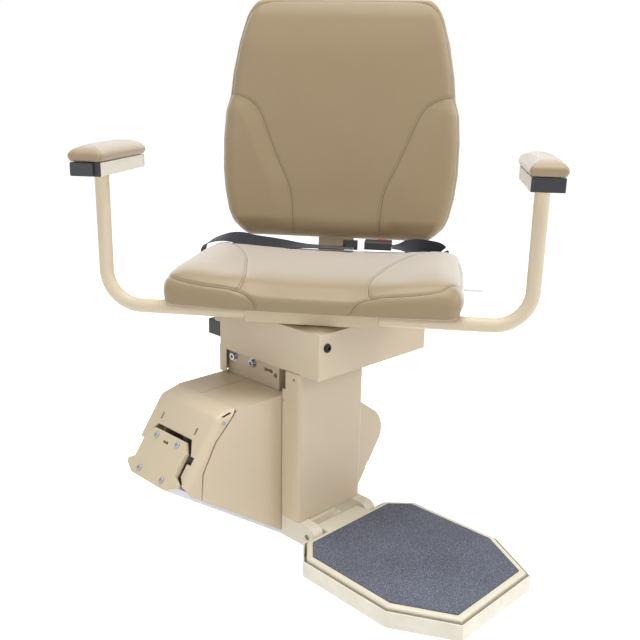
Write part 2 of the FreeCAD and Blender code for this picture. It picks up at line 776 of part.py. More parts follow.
def hood(name, outline, hollow, side, corner):
    """A cap over one end: corner is the radius of its highest outer edge."""
    shell = prism("y", (-outer_y, outer_y), outline)
    face = side * s.hood_face

    def outer_corner(edge):
        box_of = edge.BoundBox
        return (along("y")(edge) and box_of.ZMin > float(s.hood_face_top) - 3
                and abs(box_of.XMin - float(face)) < 1)

    def face_side(edge):
        box_of = edge.BoundBox
        return (not along("y")(edge) and abs(box_of.XMin - float(face)) < 0.5
                and abs(box_of.XMax - float(face)) < 0.5 and edge.Length > 60)
    shell = rounded(shell, corner, outer_corner)
    shell = rounded(shell, 14, face_side)
    inside = prism("y", (-inner_y, inner_y), hollow)
    if corner > 30:
        inside = rounded(inside, corner - wall, lambda edge: along("y")(edge)
                         and edge.BoundBox.ZMin > 200 and edge.BoundBox.XMin > 200)
    inside = rounded(inside, 11, lambda edge: along("z")(edge)
                     and abs(edge.BoundBox.XMin - float(face - side * wall)) < 0.5)
    depth = (face - 16, face + 1) if side > 0 else (face - 1, face + 16)
    opening = prism("x", depth, mirrored([
        (wing_half, s.cover_low - 20),
        (wing_half, s.rail_wing_top + wing_gap),
        (opening_half, s.rail_wing_top + wing_gap + 10),
        (opening_half, opening_shoulder),
        (s.rail_crown_half + rail_gap, s.rail_height + rail_gap + 2)]))
    notch = box(depth, (-opening_half - 10, -opening_half + 1), (leg_end - 6, leg_end + 8))
    wall_leg = box((-s.hood_face - 1, -s.hood_face + 60) if side < 0
                   else (s.hood_face - 60, s.hood_face + 1),
                   (opening_half - 6, outer_y + 1), (s.cover_low - 20, leg_end))
    slots = [box(depth, (place - 2, place + 2), (s.rail_height + 20, s.rail_height + 32))
             for place in (-opening_half + 16, opening_half - 16)]
    tools = [inside, opening, notch, wall_leg] + slots
    if side > 0:
        tools.append(box((s.hood_face - 12, s.hood_face + 1), (-outer_y - 1, -inner_y + 14),
                         (leg_end + 129, leg_end + 142)))
    lug_u = sorted((side * (s.hood_face - 8), side * (s.hood_face - 22)))
    lugs, holes = [], []
    for way in (-1, 1):
        lug_w = (s.runner_w - 10, s.hood_face_top + 2)
        foot_u = sorted((side * (s.hood_face - 8), side * (s.hood_face - 13)))
        lugs.append(box(lug_u, sorted((way * (runner_y - 6), way * (inner_y - 0.5))), lug_w))
        lugs.append(box(foot_u, sorted((way * runner_y, way * (inner_y + 1))), lug_w))
        holes.append(rod("x", lug_u[0] - 1, lug_u[1] + 1, s.runner_radius + s.running_gap,
                         (way * runner_y, s.runner_w)))
        holes.append(rod("y", *sorted((way * (outer_y + 1), way * (outer_y - 12.5))), 2.2,
                         hood_screw_place[side]))
    sub_part(name, cut(join(cut(shell, *tools), *lugs), *holes), rail_frame)


hood_screw_place = {side: (side * (s.hood_face - 15), s.hood_face_top - 4)
                    for side in (-1, 1)}
hood("upper_hood", upper_hood_outer, upper_hood_inner, -1, 18)
hood("lower_hood", lower_hood_outer, lower_hood_inner, 1, 50)

# Hood screws: one in each cheek of a hood, into the hood's sliding lug
for name, side in (("upper_hood_screws", -1), ("lower_hood_screws", 1)):
    pieces = []
    place = hood_screw_place[side]
    for way in (-1, 1):
        face = way * outer_y
        head = (face - 1.4, face) if way < 0 else (face, face + 1.4)
        shank = (face, face + 12) if way < 0 else (face - 12, face)
        body = join(rod("y", head[0], head[1], 4, place), rod("y", shank[0], shank[1], 2, place))
        cross_depth = (head[0] - 1, head[0] + 0.9) if way < 0 else (head[1] - 0.9, head[1] + 1)
        across, up = place
        cross = join(box((across - 2.2, across + 2.2), cross_depth, (up - 0.5, up + 0.5)),
                     box((across - 0.5, across + 0.5), cross_depth, (up - 2.2, up + 2.2)))
        pieces.append(cut(body, cross))
    sub_part(name, group(*pieces), rail_frame)

# Levelling bracket: a box without a lid on the chassis deck, under the housing
bracket_y = (-s.chassis_half_width,
             s.housing_back - s.housing_wall - s.bracket_gap)
deck_plate = s.chassis_plate
bolt_z = s.housing_low - 14
bolt_reach = 18
bolt_places = [(s.chassis_half_width - 6, bolt_z), (s.chassis_half_width - 62, bolt_z)]
bracket_walls = [
    box((s.bracket_left, s.bracket_left + deck_plate), bracket_y, (s.deck_z, s.housing_low)),
    box((s.bracket_left, s.bracket_right), (bracket_y[0], bracket_y[0] + deck_plate),
        (s.deck_z, s.housing_low)),
    box((s.bracket_left, s.bracket_right),
        (s.chassis_half_width - deck_plate, s.chassis_half_width), (s.deck_z, s.housing_low)),
]
bracket_span = (s.bracket_left - 1, s.bracket_left + deck_plate + 1)
bracket_holes = [rod("x", bracket_span[0], bracket_span[1], 5.1, place)
                 for place in bolt_places]
slot_y = -s.chassis_half_width + 22
for start in (slot_y, slot_y + 16):
    bracket_holes.append(rod("x", bracket_span[0], bracket_span[1], 4, (start, bolt_z - 4)))
bracket_holes.append(box(bracket_span, (slot_y, slot_y + 16), (bolt_z - 6.5, bolt_z - 1.5)))
bracket_holes.append(rod("x", bracket_span[0], bracket_span[1], 5, (slot_y - 11, bolt_z - 10)))
bracket_holes.append(box((s.bracket_left + deck_plate, s.bracket_left + deck_plate + bolt_reach),
                         (s.chassis_half_width - deck_plate - 1, s.chassis_half_width + 1),
                         (bolt_z - 9, bolt_z + 9)))
sub_part("levelling_bracket", cut(join(*bracket_walls), *bracket_holes))

# Levelling bolts: a black washer, a bright hexagon-socket head and a shank
pieces = []
for place in bolt_places:
    washer = rod("x", s.bracket_left - 1.6, s.bracket_left, 9.5, place)
    head = rod("x", s.bracket_left - 7, s.bracket_left - 1.6, 7, place)
    socket = rod("x", s.bracket_left - 8, s.bracket_left - 3, 3.5, place)
    shank = rod("x", s.bracket_left, s.bracket_left + deck_plate + bolt_reach - 2, 5, place)
    pieces.append(cut(join(washer, head, shank), socket))
sub_part("levelling_bolts", group(*pieces))

# Seat support: base plate on the bracket, the swivel's boss above it and the
# upright that hangs down inside the column
column_in = (s.column_x - 55, s.column_x + 55)
column_back = s.column_front + s.column_depth
upright_y = (s.column_front + s.column_wall + 3, column_back - 4)
boss_top = s.housing_high - 11
boss_radius = s.spindle_radius + s.boss_wall
swivel_place = (s.swivel_x, s.swivel_y)
base_plate = box((s.bracket_left, s.swivel_x + boss_radius + 20),
                 (upright_y[0], bracket_y[1]),
                 (s.housing_low, s.housing_low + deck_plate))
upright_tube = cut(box(column_in, upright_y, (s.column_foot, s.housing_low + deck_plate)),
                   box((column_in[0] + 4, column_in[1] - 4), (upright_y[0] + 4, upright_y[1] - 4),
                       (s.column_foot - 1, s.housing_low)))
boss = cut(rod("z", s.housing_low, boss_top, boss_radius, swivel_place),
           rod("z", s.housing_low + deck_plate, boss_top + 1,
               s.spindle_radius + s.running_gap, swivel_place))
gussets = [box((s.swivel_x - boss_radius - 55, s.swivel_x - boss_radius + 4),
               (s.swivel_y - 3, s.swivel_y + 3), (s.housing_low, boss_top - 30)),
           box((s.swivel_x - 3, s.swivel_x + 3),
               (s.swivel_y + boss_radius - 4, s.swivel_y + boss_radius + 50),
               (s.housing_low, boss_top - 30))]
sub_part("seat_support", join(base_plate, upright_tube, boss, *gussets))

# Column cover: a folded channel round the upright, open at the back
column_left = s.column_x - s.column_width / 2
column_right = s.column_x + s.column_width / 2
column_outer = rounded(prism("z", (s.column_foot, s.housing_low - 0.3), [
    (column_left, s.column_front), (column_right, s.column_front),
    (column_right, column_back), (column_left, column_back)]), 8,
    lambda edge: along("z")(edge) and edge.BoundBox.YMax < float(s.column_front) + 1)
column_inner = box((column_left + s.column_wall, column_right - s.column_wall),
                   (s.column_front + s.column_wall, column_back + 1),
                   (s.column_foot - 1, s.housing_low + 1))
relief = box((column_left - 1, column_left + 10), (column_back - 8, column_back + 1),
             (s.housing_low - 36, s.housing_low + 1))
side_hole = rod("x", column_left - 1, column_left + 5, 2.4,
                (s.column_front + 17, s.housing_low - 12))
low_hole = rod("x", column_left - 1, column_left + 5, 1.6,
               (column_back - 4, s.housing_low - 58))
sub_part("column_cover", cut(column_outer, column_inner, relief, side_hole, low_hole))

# Housing: a folded steel cover over the seat support, open underneath, with a
# short skirt at its back corner
house_x = (s.housing_left, s.housing_left + s.housing_width)
house_y = (s.housing_back - s.housing_depth, s.housing_back)
bevel_z = s.housing_high - s.housing_bevel_drop
sheet_wall = s.housing_wall
house_body = prism("z", (s.housing_low, bevel_z), [
    (house_x[0], house_y[0]), (house_x[1], house_y[0]),
    (house_x[1], house_y[1]), (house_x[0], house_y[1])])
house_body = rounded(house_body, 3, along("z"))
roof = doc.addObject("Part::Wedge", "roof")
bind(roof, Xmin=0.0, Xmax=s.housing_width, Zmin=0.0, Zmax=s.housing_depth,
     Ymin=0.0, Ymax=s.housing_bevel_drop,
     X2min=s.housing_bevel, X2max=s.housing_width - s.housing_bevel,
     Z2min=s.housing_bevel, Z2max=s.housing_depth - s.housing_bevel)
roof.Placement = Placement(Vector(), Rotation(Vector(1, 0, 0), 90))
seat_at(roof, house_x[0], house_y[1], bevel_z)
house_hollow = box((house_x[0] + sheet_wall, house_x[1] - sheet_wall),
                   (house_y[0] + sheet_wall, house_y[1] - sheet_wall),
                   (s.housing_low - 1, bevel_z - 1))
bearing_hole = rod("z", s.housing_low, s.housing_high + 1, s.bearing_radius + 1.5, swivel_place)
screw_place = (house_x[0] + 20, bevel_z - 26)
front_hole = rod("y", house_y[0] - 1, house_y[0] + sheet_wall + 1, 5.2, screw_place)
skirt_low = s.roof_z + 2
skirt = cut(box((house_x[0], house_x[1]), (house_y[1] - 20, house_y[1]),
                (skirt_low, s.housing_low + 6)),
            box((house_x[0] + sheet_wall, house_x[1] + 1),
                (house_y[1] - 21, house_y[1] - sheet_wall),
                (skirt_low - 1, s.housing_low + 7)))
switch_tab = box((house_x[0], house_x[0] + 24), (house_y[1] - 1, house_y[1] + 14),
                 (bevel_z - 33 + s.soft_gap, bevel_z - 24))
shell = cut(join(house_body, roof, skirt, switch_tab), house_hollow, bearing_hole, front_hole)
sub_part("swivel_housing", shell)

# Housing screw: a black button head with a hexagon socket
head = rod("y", house_y[0] - 5, house_y[0], 8, screw_place)
head = rounded(head, 3.5, lambda edge: edge.Curve.TypeId == "Part::GeomCircle"
               and edge.BoundBox.YMin < float(house_y[0]) - 4)
socket = prism("y", (house_y[0] - 6, house_y[0] - 2), [
    (screw_place[0] + 3.5 * math.cos(math.radians(60 * i)),
     screw_place[1] + 3.5 * math.sin(math.radians(60 * i))) for i in range(6)])
shank = rod("y", house_y[0], house_y[0] + 22, 5, screw_place)
sub_part("housing_screw", cut(join(head, shank), socket))

# Swivel bearing: the ring that carries the seat, on the boss
ring = cut(rod("z", boss_top, s.frame_low - 1.2, s.bearing_radius, swivel_place),
           rod("z", boss_top - 1, s.frame_low, s.spindle_radius + s.running_gap, swivel_place))
sub_part("swivel_bearing", ring)

# Interlock switch: the black box behind the housing that stops the drive
# while the seat is turned from its riding position
switch_z = (bevel_z - 64, bevel_z - 33)
switch = box((house_x[0], house_x[0] + 30), (house_y[1], house_y[1] + 34), switch_z)
sub_part("interlock_switch", rounded(switch, 2.5, along("y")))

# Footrest bracket: a cross plate at the column's foot with a lug at each side
hinge = (s.hinge_y, s.hinge_z)
foot_low = s.hinge_z - s.lug_radius - 1
foot_span = (column_left, column_right)
cross_plate = box(foot_span, (column_back - 6, column_back), (foot_low, s.column_foot - 0.3))
stem = box((column_in[0], column_in[1]), (upright_y[0], column_back),
           (s.column_foot - 6.3, s.column_foot))
lugs = []
for start, stop in ((column_left, column_left + s.lug_width),
                    (column_right - s.lug_width, column_right)):
    lug = prism("x", (start, stop), [
        (column_back, foot_low),
        (s.hinge_y, foot_low + 1),
        (s.hinge_y, s.hinge_z + s.lug_radius),
        (column_back, s.column_foot - 0.3)])
    nose = rod("x", start, stop, s.lug_radius, hinge)
    lugs.append(join(lug, nose))
pin_hole = rod("x", column_left - 1, column_right + 1, s.hinge_pin_radius, hinge)
sub_part("footrest_bracket", cut(join(cross_plate, stem, *lugs), pin_hole))
sub_part("footrest_hinge_pin",
         rod("x", column_left + 3, column_right - 3, s.hinge_pin_radius, hinge))

# Footrest: platform with a hinge knuckle, the grip mat let into its top and
# the safety pan that hangs under it
mat_outline = [(105, -197), (137.5, -230), (141.5, -410), (89, -505)]


def footrest_outline(margin):
    """The mat's eight-sided outline, moved outwards by a margin."""
    (ax, ay), (bx, by), (cx, cy), (dx, dy) = mat_outline
    half = [
        (ax + margin * 0.41, ay + margin),
        (bx + margin, by + margin * 0.41),
        (cx + margin, cy - margin * 0.27),
        (dx + margin * 0.57, dy - margin),
    ]
    right = [(s.column_x + a, b) for a, b in half]
    left = [(s.column_x - a, b) for a, b in reversed(half)]
    return right + left


platform_low = s.footrest_top - s.footrest_thickness
platform = prism("z", (platform_low, s.footrest_top), footrest_outline(s.mat_recess))
platform = rounded(platform, 5, lambda edge: abs(edge.BoundBox.ZMin - float(s.footrest_top))
                   < 0.01 and abs(edge.BoundBox.ZMax - float(s.footrest_top)) < 0.01)
recess = prism("z", (s.footrest_top - s.mat_thickness, s.footrest_top + 1),
               footrest_outline(s.soft_gap))
knuckle_x = (column_left + s.lug_width + 2, column_right - s.lug_width - 2)
tongue = box(knuckle_x, (mat_outline[0][1] + 2, s.hinge_y), (platform_low + 2, s.footrest_top))
knuckle = rod("x", knuckle_x[0], knuckle_x[1], s.footrest_top - s.hinge_z, hinge)
knuckle_hole = rod("x", knuckle_x[0] - 1, knuckle_x[1] + 1,
                   s.hinge_pin_radius + s.running_gap, hinge)
sub_part("footrest_platform", cut(join(cut(platform, recess), tongue, knuckle), knuckle_hole))
mat = prism("z", (s.footrest_top - s.mat_thickness, s.footrest_top + 1.5),
            footrest_outline(0.0))
sub_part("footrest_mat", mat)

pan_outline = footrest_outline(s.mat_recess + s.pan_margin)
pan = prism("z", (s.pan_floor, s.pan_rim), pan_outline)
pan = rounded(pan, 4, lambda edge: edge.BoundBox.ZMax < float(s.pan_floor) + 0.01)
pan_hollow = prism("z", (s.pan_floor + s.pan_wall, s.pan_rim + 1),
                   footrest_outline(s.mat_recess + s.pan_margin - s.pan_wall))
lug_front = s.hinge_y - s.lug_radius
pan_mouth = join(box((knuckle_x[0] - 4, knuckle_x[1] + 4), (lug_front - 12, lug_front + 20),
                     (s.pan_floor + 12, s.pan_rim + 1)),
                 box((column_left - 2, column_right + 2), (lug_front - 1.5, lug_front + 20),
                     (s.pan_floor - 1, s.pan_rim + 1)))
stud_places = [(s.column_x + a, b) for a in (-95, 95) for b in (-240, -400)]
stud_holes = [rod("z", s.pan_floor - 1, s.pan_floor + s.pan_wall + 1, 3.3, place)
              for place in stud_places]
sub_part("footrest_pan", cut(pan, pan_hollow, pan_mouth, *stud_holes))

# Pan studs: shoulder screws under the platform on which the pan slides
studs = [join(rod("z", s.pan_floor - 0.3, platform_low, 3, place),
              rod("z", s.pan_floor - 2.3, s.pan_floor - 0.3, 6, place))
         for place in stud_places]
sub_part("pan_studs", group(*studs))

# Seat base: a shallow tray turned upside down, which swivels on the bearing
frame_x = (-s.frame_half, s.frame_half)
frame_y = (s.frame_front, s.frame_back)
tray = box(frame_x, frame_y, (s.frame_low, s.frame_top))
tray = rounded(tray, 2.5, along("z"))
tray_hollow = box((frame_x[0] + s.frame_wall, frame_x[1] - s.frame_wall),
                  (frame_y[0] + s.frame_wall, frame_y[1] - s.frame_wall),
                  (s.frame_low - 1, s.frame_top - s.frame_wall))
tube_hole = rod("x", frame_x[0] - 1, frame_x[1] + 1, s.tube_radius + s.running_gap,
                (s.arm_y, s.arm_z))
lever_z = (s.frame_low + 18, s.frame_low + 18 + s.lever_thickness)
lever_slot = box((frame_x[1] - s.frame_wall - 1, frame_x[1] + 1),
                 (s.lever_y - s.lever_width / 2 - 8, s.lever_y + s.lever_width / 2 + 4),
                 (lever_z[0] - 1, lever_z[1] + 1))
bracket_x = (-43, 33)
bracket_z = (s.frame_low + s.frame_wall, s.frame_low + s.frame_wall + 8)
bracket_slot = box((bracket_x[0], bracket_x[1]), (s.frame_back - s.frame_wall - 1,
                                                  s.frame_back + 1),
                   (bracket_z[0], bracket_z[1]))
floor = box((frame_x[0] + s.frame_wall - 1, frame_x[1] - s.frame_wall + 1),
            (-s.bearing_radius - 8, s.bearing_radius + 8),
            (s.frame_low, s.frame_low + s.frame_wall))
hinge_ears = []
ear_places = [side * s.seat_hinge_x + way * s.hinge_ear_offset
              for side in (-1, 1) for way in (-1, 1)]
for place in ear_places:
    hinge_ears.append(box((place - 3, place + 3), (s.frame_back - s.frame_wall, s.seat_hinge_y + 9),
                          (s.frame_top - 14, s.seat_hinge_z + 7)))
seat_hinge = (s.seat_hinge_y, s.seat_hinge_z)
pin_run = (-s.seat_hinge_x - 20, s.seat_hinge_x + 20)
ear_hole = rod("x", pin_run[0], pin_run[1], s.seat_pin_radius, seat_hinge)
webs = [box((side * 60 - 3, side * 60 + 3), (s.frame_front + 1, s.arm_y + 24),
            (s.frame_low, s.frame_top - 1)) for side in (-1, 1)]
base = join(cut(tray, tray_hollow), floor, *hinge_ears, *webs)
sub_part("seat_base", cut(base, tube_hole, lever_slot, bracket_slot, ear_hole), seat_frame)

# Swivel spindle: hangs from the seat base and turns in the boss
spindle = join(rod("z", s.housing_low + 12, s.frame_low, s.spindle_radius, (0.0, 0.0)),
               rod("z", s.frame_low - 1.2, s.frame_low, s.bearing_radius - 3, (0.0, 0.0)))
sub_part("swivel_spindle", spindle, seat_frame)

# Swivel lever: a flat plate through the base's side, pulled forward to release
lever_half = s.lever_width / 2
lever_blade = box((s.lever_x, s.lever_reach - lever_half),
                  (s.lever_y - lever_half, s.lever_y + lever_half), lever_z)
lever_ends = [rod("z", lever_z[0], lever_z[1], lever_half, (place, s.lever_y))
              for place in (s.lever_x, s.lever_reach - lever_half)]
pivot_hole = rod("z", lever_z[0] - 1, lever_z[1] + 1, 4 + s.running_gap,
                 (s.lever_x, s.lever_y))
sub_part("swivel_lever", cut(join(lever_blade, *lever_ends), pivot_hole), seat_frame)
pivot = join(rod("z", lever_z[0] - 3, s.frame_top - s.frame_wall, 4, (s.lever_x, s.lever_y)),
             rod("z", lever_z[0] - 3, lever_z[0] - 0.3, 8, (s.lever_x, s.lever_y)))
sub_part("lever_pivot", pivot, seat_frame)

# Arms: bent tubes that turn in the seat base, with an armrest channel on top,
# its end caps and its pad
pad_width = s.armrest_width + 8
arm_parts = {}
for name, side in (("left", -1), ("right", 1)):
    tube = doc.addObject("PartDesign::Body", "tube")
    path = sketch_on(tube, "y", s.arm_y)
    start_x, bend_x = side * 20.0, side * (s.arm_half - s.arm_bend)
    end_x, bend_z = side * s.arm_half, s.arm_z + s.arm_bend
    path.addGeometry(Part.LineSegment(Vector(start_x, s.arm_z, 0), Vector(bend_x, s.arm_z, 0)))
    middle = Vector(bend_x, bend_z, 0)
    low, high = (270, 360) if side > 0 else (180, 270)
    path.addGeometry(Part.ArcOfCircle(Part.Circle(middle, Vector(0, 0, 1), s.arm_bend),
                                      math.radians(low), math.radians(high)))
    path.addGeometry(Part.LineSegment(Vector(end_x, bend_z, 0), Vector(end_x, s.arm_top, 0)))
    section = sketch_on(tube, "x", start_x)
    draw_circle(section, s.arm_y, s.arm_z, s.tube_radius)
    draw_circle(section, s.arm_y, s.arm_z, s.tube_radius - s.tube_wall)
    pipe = tube.newObject("PartDesign::AdditivePipe", "pipe")
    pipe.Profile = section
    pipe.Spine = (path, ["Edge1", "Edge2", "Edge3"])
    doc.recompute()
    sub_part(name + "_arm_tube", tube, seat_frame)

    rest_x = (end_x - s.armrest_width / 2, end_x + s.armrest_width / 2)
    rest_y = (s.arm_y - s.armrest_lead, s.arm_y - s.armrest_lead + s.armrest_length)
    rest_z = (s.arm_top, s.arm_top + s.armrest_height)
    channel = cut(box(rest_x, (rest_y[0] + 2, rest_y[1] - 2), rest_z),
                  box((rest_x[0] + 2, rest_x[1] - 2), (rest_y[0], rest_y[1]),
                      (rest_z[0] + 2, rest_z[1] - 2)))
    sub_part(name + "_armrest_channel", channel, seat_frame)

    caps = []
    for span, plug in (((rest_y[0], rest_y[0] + 2), (rest_y[0] + 2, rest_y[0] + 14)),
                       ((rest_y[1] - 2, rest_y[1]), (rest_y[1] - 14, rest_y[1] - 2))):
        face = rounded(box(rest_x, span, rest_z), 1.5, along("y"))
        inner = cut(box((rest_x[0] + 2, rest_x[1] - 2), plug, (rest_z[0] + 2, rest_z[1] - 2)),
                    box((rest_x[0] + 5, rest_x[1] - 5), (plug[0] - 1, plug[1] + 1),
                        (rest_z[0] + 5, rest_z[1] - 5)))
        caps.append(join(face, inner))
    rocker_at = (rest_x[0] + 22, (rest_z[0] + rest_z[1]) / 2)
    if side < 0:
        caps[0] = cut(caps[0], rod("y", rest_y[0] - 1, rest_y[0] + 3, 3.2, rocker_at))
    arm_parts[name] = (rest_x, rest_y, rest_z, rocker_at)
    sub_part(name + "_armrest_caps", group(*caps), seat_frame)

# Direction rocker: proud of the left armrest's front cap, turned by the fingers
rest_x, rest_y, rest_z, rocker_at = arm_parts["left"]
rocker_gap = 1.8
paddle = box((rocker_at[0] - 20, rocker_at[0] + 20),
             (rest_y[0] - rocker_gap - 3.8, rest_y[0] - rocker_gap),
             (rest_z[0] + 0.5, rest_z[1] - 1))
paddle = rounded(paddle, 3, along("y"))
stem = rod("y", rest_y[0] - rocker_gap, rest_y[0] + 6, 2.5, rocker_at)
sub_part("direction_rocker", join(paddle, stem), seat_frame)


def arc_chain(points, normal):
    """A closed wire; each corner comes with its side's bulge, outwards positive."""
    edges = []
    for (a, bulge), (b, _) in zip(points, points[1:] + points[:1]):
        if bulge == 0:
            edges.append(Part.LineSegment(a, b).toShape())
            continue
        out = b.sub(a).cross(normal)
        out.normalize()
        middle = a.add(b).multiply(0.5).add(out.multiply(bulge))
        edges.append(Part.Arc(a, middle, b).toShape())
    return Part.Wire(edges)


def loft(wires):
    return Part.makeLoft(wires, True, False, False)


# Armrest pads: domed, drawn in below their widest line, on top of the channels
for name in ("left", "right"):
    rest_x, rest_y, rest_z, rocker_at = arm_parts[name]
    mid_x, mid_y = (rest_x[0] + rest_x[1]) / 2, (rest_y[0] + rest_y[1]) / 2
    sections = []
    for rise, grow in ((0.3, 0.5), (9.0, 4.0), (19.0, 1.0), (27.0, -8.0), (33.0, -19.0)):
        half_x = s.armrest_width / 2 + grow
        half_y = s.armrest_length / 2 + grow + 2
        z = rest_z[1] + rise * s.armpad_height / 33
        bow = 1.5 + max(0.0, -grow) * 0.15
        corners = [Vector(mid_x - half_x, mid_y - half_y, z),
                   Vector(mid_x + half_x, mid_y - half_y, z),
                   Vector(mid_x + half_x, mid_y + half_y, z),
                   Vector(mid_x - half_x, mid_y + half_y, z)]
        sections.append(arc_chain([(corner, bow) for corner in corners], Vector(0, 0, 1)))
    feature(name + "_armrest_pad", loft(sections), seat_frame)

# Seat cushion: lofted from front to back; its side bolsters and middle panel
# meet at two sewn channels, its sides and ends are drawn in
seat_low = s.frame_top + s.soft_gap
seam_at = 0.42
seat_length = s.seat_back - s.seat_front
seat_sections = []
for share, draw, height, belly in ((0.0, 20, 0.50, 4), (0.045, 6, 0.84, 8), (0.12, 0, 0.97, 11),
                                   (0.30, 0, 1.0, 13), (0.62, 0, 1.0, 13), (0.88, 4, 0.97, 9),
                                   (1.0, 24, 0.62, 4)):
    y = s.seat_front + seat_length * share
    half = s.seat_half - draw
    edge_z = seat_low + (s.seat_edge - seat_low) * height * 0.88
    seam_x = half * seam_at
    seam_z = seat_low + (s.seat_edge - seat_low) * height
    skirt = half - 12
    seat_sections.append(arc_chain([
        (Vector(-skirt, y, seat_low), 0),
        (Vector(skirt, y, seat_low), 6),
        (Vector(half, y, edge_z), belly + 3),
        (Vector(seam_x, y, seam_z), belly * 0.3),
        (Vector(-seam_x, y, seam_z), belly + 3),
        (Vector(-half, y, edge_z), 6),
    ], Vector(0, -1, 0)))
cushion = loft(seat_sections)
board_x = (34 - s.seat_half, s.seat_half - 34)
board_y = (s.seat_front + 40, s.seat_hinge_y)
board_z = (seat_low, seat_low + s.board_thickness)
hollow = Part.makeBox(board_x[1] - board_x[0] + 1, board_y[1] - board_y[0] + 1,
                      s.board_thickness + 1 + s.soft_gap,
                      Vector(board_x[0] - 0.5, board_y[0] - 0.5, seat_low - 1))
cushion = cushion.cut(hollow)
mouth_half = s.hinge_ear_offset + 8
for side in (-1, 1):
    mouth = Part.makeBox(mouth_half * 2, 60, s.seat_hinge_z + 16 - s.frame_top,
                         Vector(side * s.seat_hinge_x - mouth_half, s.seat_hinge_y - 20,
                                s.frame_top - 1))
    cushion = cushion.cut(mouth)
feature("seat_cushion", cushion, seat_frame)

# Seat board: the stiff panel under the cushion, with a knuckle for each hinge
board = box(board_x, board_y, board_z)
ear_gaps = [box((place - 3.5, place + 3.5), (s.seat_hinge_y - 20, s.seat_hinge_y + 1),
                (board_z[0] - 1, board_z[1] + 1)) for place in ear_places]
knuckle_half = s.hinge_ear_offset - 3.5
knuckles = []
for side in (-1, 1):
    middle = side * s.seat_hinge_x
    knuckles.append(rod("x", middle - knuckle_half, middle + knuckle_half, 7.5, seat_hinge))
knuckle_hole = rod("x", pin_run[0], pin_run[1], s.seat_pin_radius + s.running_gap, seat_hinge)
sub_part("seat_board", cut(join(cut(board, *ear_gaps), *knuckles), knuckle_hole), seat_frame)
pins = []
for side in (-1, 1):
    middle = side * s.seat_hinge_x
    pins.append(rod("x", middle - s.hinge_ear_offset - 4, middle + s.hinge_ear_offset + 4,
                    s.seat_pin_radius, seat_hinge))
sub_part("seat_hinge_pins", group(*pins), seat_frame)

# Back bracket: a flat bar from the seat base that rises behind the back shell
shell_back = s.back_thickness + s.shell_thickness + s.soft_gap * 2
bar_lie = box(bracket_x, (s.frame_back - 90, s.back_y + shell_back - 2), bracket_z)
bar_rise = box(bracket_x, (shell_back, shell_back + 8), (bracket_z[0] - s.back_z, 210.0))
bar_rise = placed(bar_rise, Placement(Vector(0, float(s.back_y), float(s.back_z)),
                                      Rotation(Vector(1, 0, 0), -float(s.back_recline))))
sub_part("back_bracket", join(bar_lie, bar_rise), seat_frame)

# The backrest's outline in shares of its half width and height: a narrow foot,
# widest below the middle, and a round top
back_shares = [(0.80, -0.01), (0.95, 0.07), (1.0, 0.30), (0.985, 0.48), (0.935, 0.68),
               (0.88, 0.86), (0.77, 0.955), (0.60, 1.0)]

# Back shell: the moulded panel behind the cushion
shell_points = [(x * (s.back_half - 12), s.back_height * z - 3 + 6 * (1 - z))
                for x, z in back_shares]
back_shell = prism("y", (s.back_thickness + s.soft_gap,
                         s.back_thickness + s.soft_gap + s.shell_thickness),
                   mirrored(shell_points))
back_shell = rounded(back_shell, 3, lambda edge: abs(edge.BoundBox.YMin - edge.BoundBox.YMax)
                     < 0.01 and edge.BoundBox.YMin > float(s.back_thickness) + 5)
sub_part("back_shell", back_shell, back_frame)

# Backrest cushion: lofted upwards; below the shoulders two side bolsters stand
# proud of the middle panel, and the three meet at sewn channels
back_sections = []
for rise, width, seam, depth, bolster in ((0.0, 0.80, 0.42, 0.55, 1), (0.05, 0.93, 0.40, 0.92, 3),
                                          (0.28, 1.0, 0.45, 1.0, 5), (0.48, 0.985, 0.62, 1.0, 4),
                                          (0.70, 0.93, 0.80, 0.96, 2), (0.88, 0.87, 0.70, 0.84, 1),
                                          (0.965, 0.74, 0.55, 0.62, 1), (1.0, 0.60, 0.42, 0.30, 1)):
    z = s.back_height * rise
    half = s.back_half * width
    face = s.back_thickness * (1 - depth)
    rim = s.back_thickness * (1 - depth * 0.62)
    back = s.back_thickness
    seam_x = half * seam
    back_sections.append(arc_chain([
        (Vector(-half * 0.97, back, z), 0),
        (Vector(half * 0.97, back, z), 2),
        (Vector(half, rim, z), 4 + bolster),
        (Vector(seam_x, face + 2, z), 2),
        (Vector(-seam_x, face + 2, z), 4 + bolster),
        (Vector(-half, rim, z), 2),
    ], Vector(0, 0, -1)))
feature("back_cushion", loft(back_sections), back_frame)

# Lap belt: webbing bolted under the seat board. The left strap comes up the
# cushion's side and lies over its rear edge; the right one comes up behind it.


def band(path, thickness):
    """A strip's outline: a line of points, thickened to one side of it."""
    ways = []
    for (a, b), (c, d) in zip(path, path[1:]):
        length = math.hypot(c - a, d - b)
        ways.append(((b - d) / length, (c - a) / length))
    offsets = [ways[0]]
    for (a, b), (c, d) in zip(ways, ways[1:]):
        reach = 1 + a * c + b * d
        offsets.append(((a + c) / reach, (b + d) / reach))
    offsets.append(ways[-1])
    far = [(x + a * thickness, z + b * thickness) for (x, z), (a, b) in zip(path, offsets)]
    return list(path) + far[::-1]


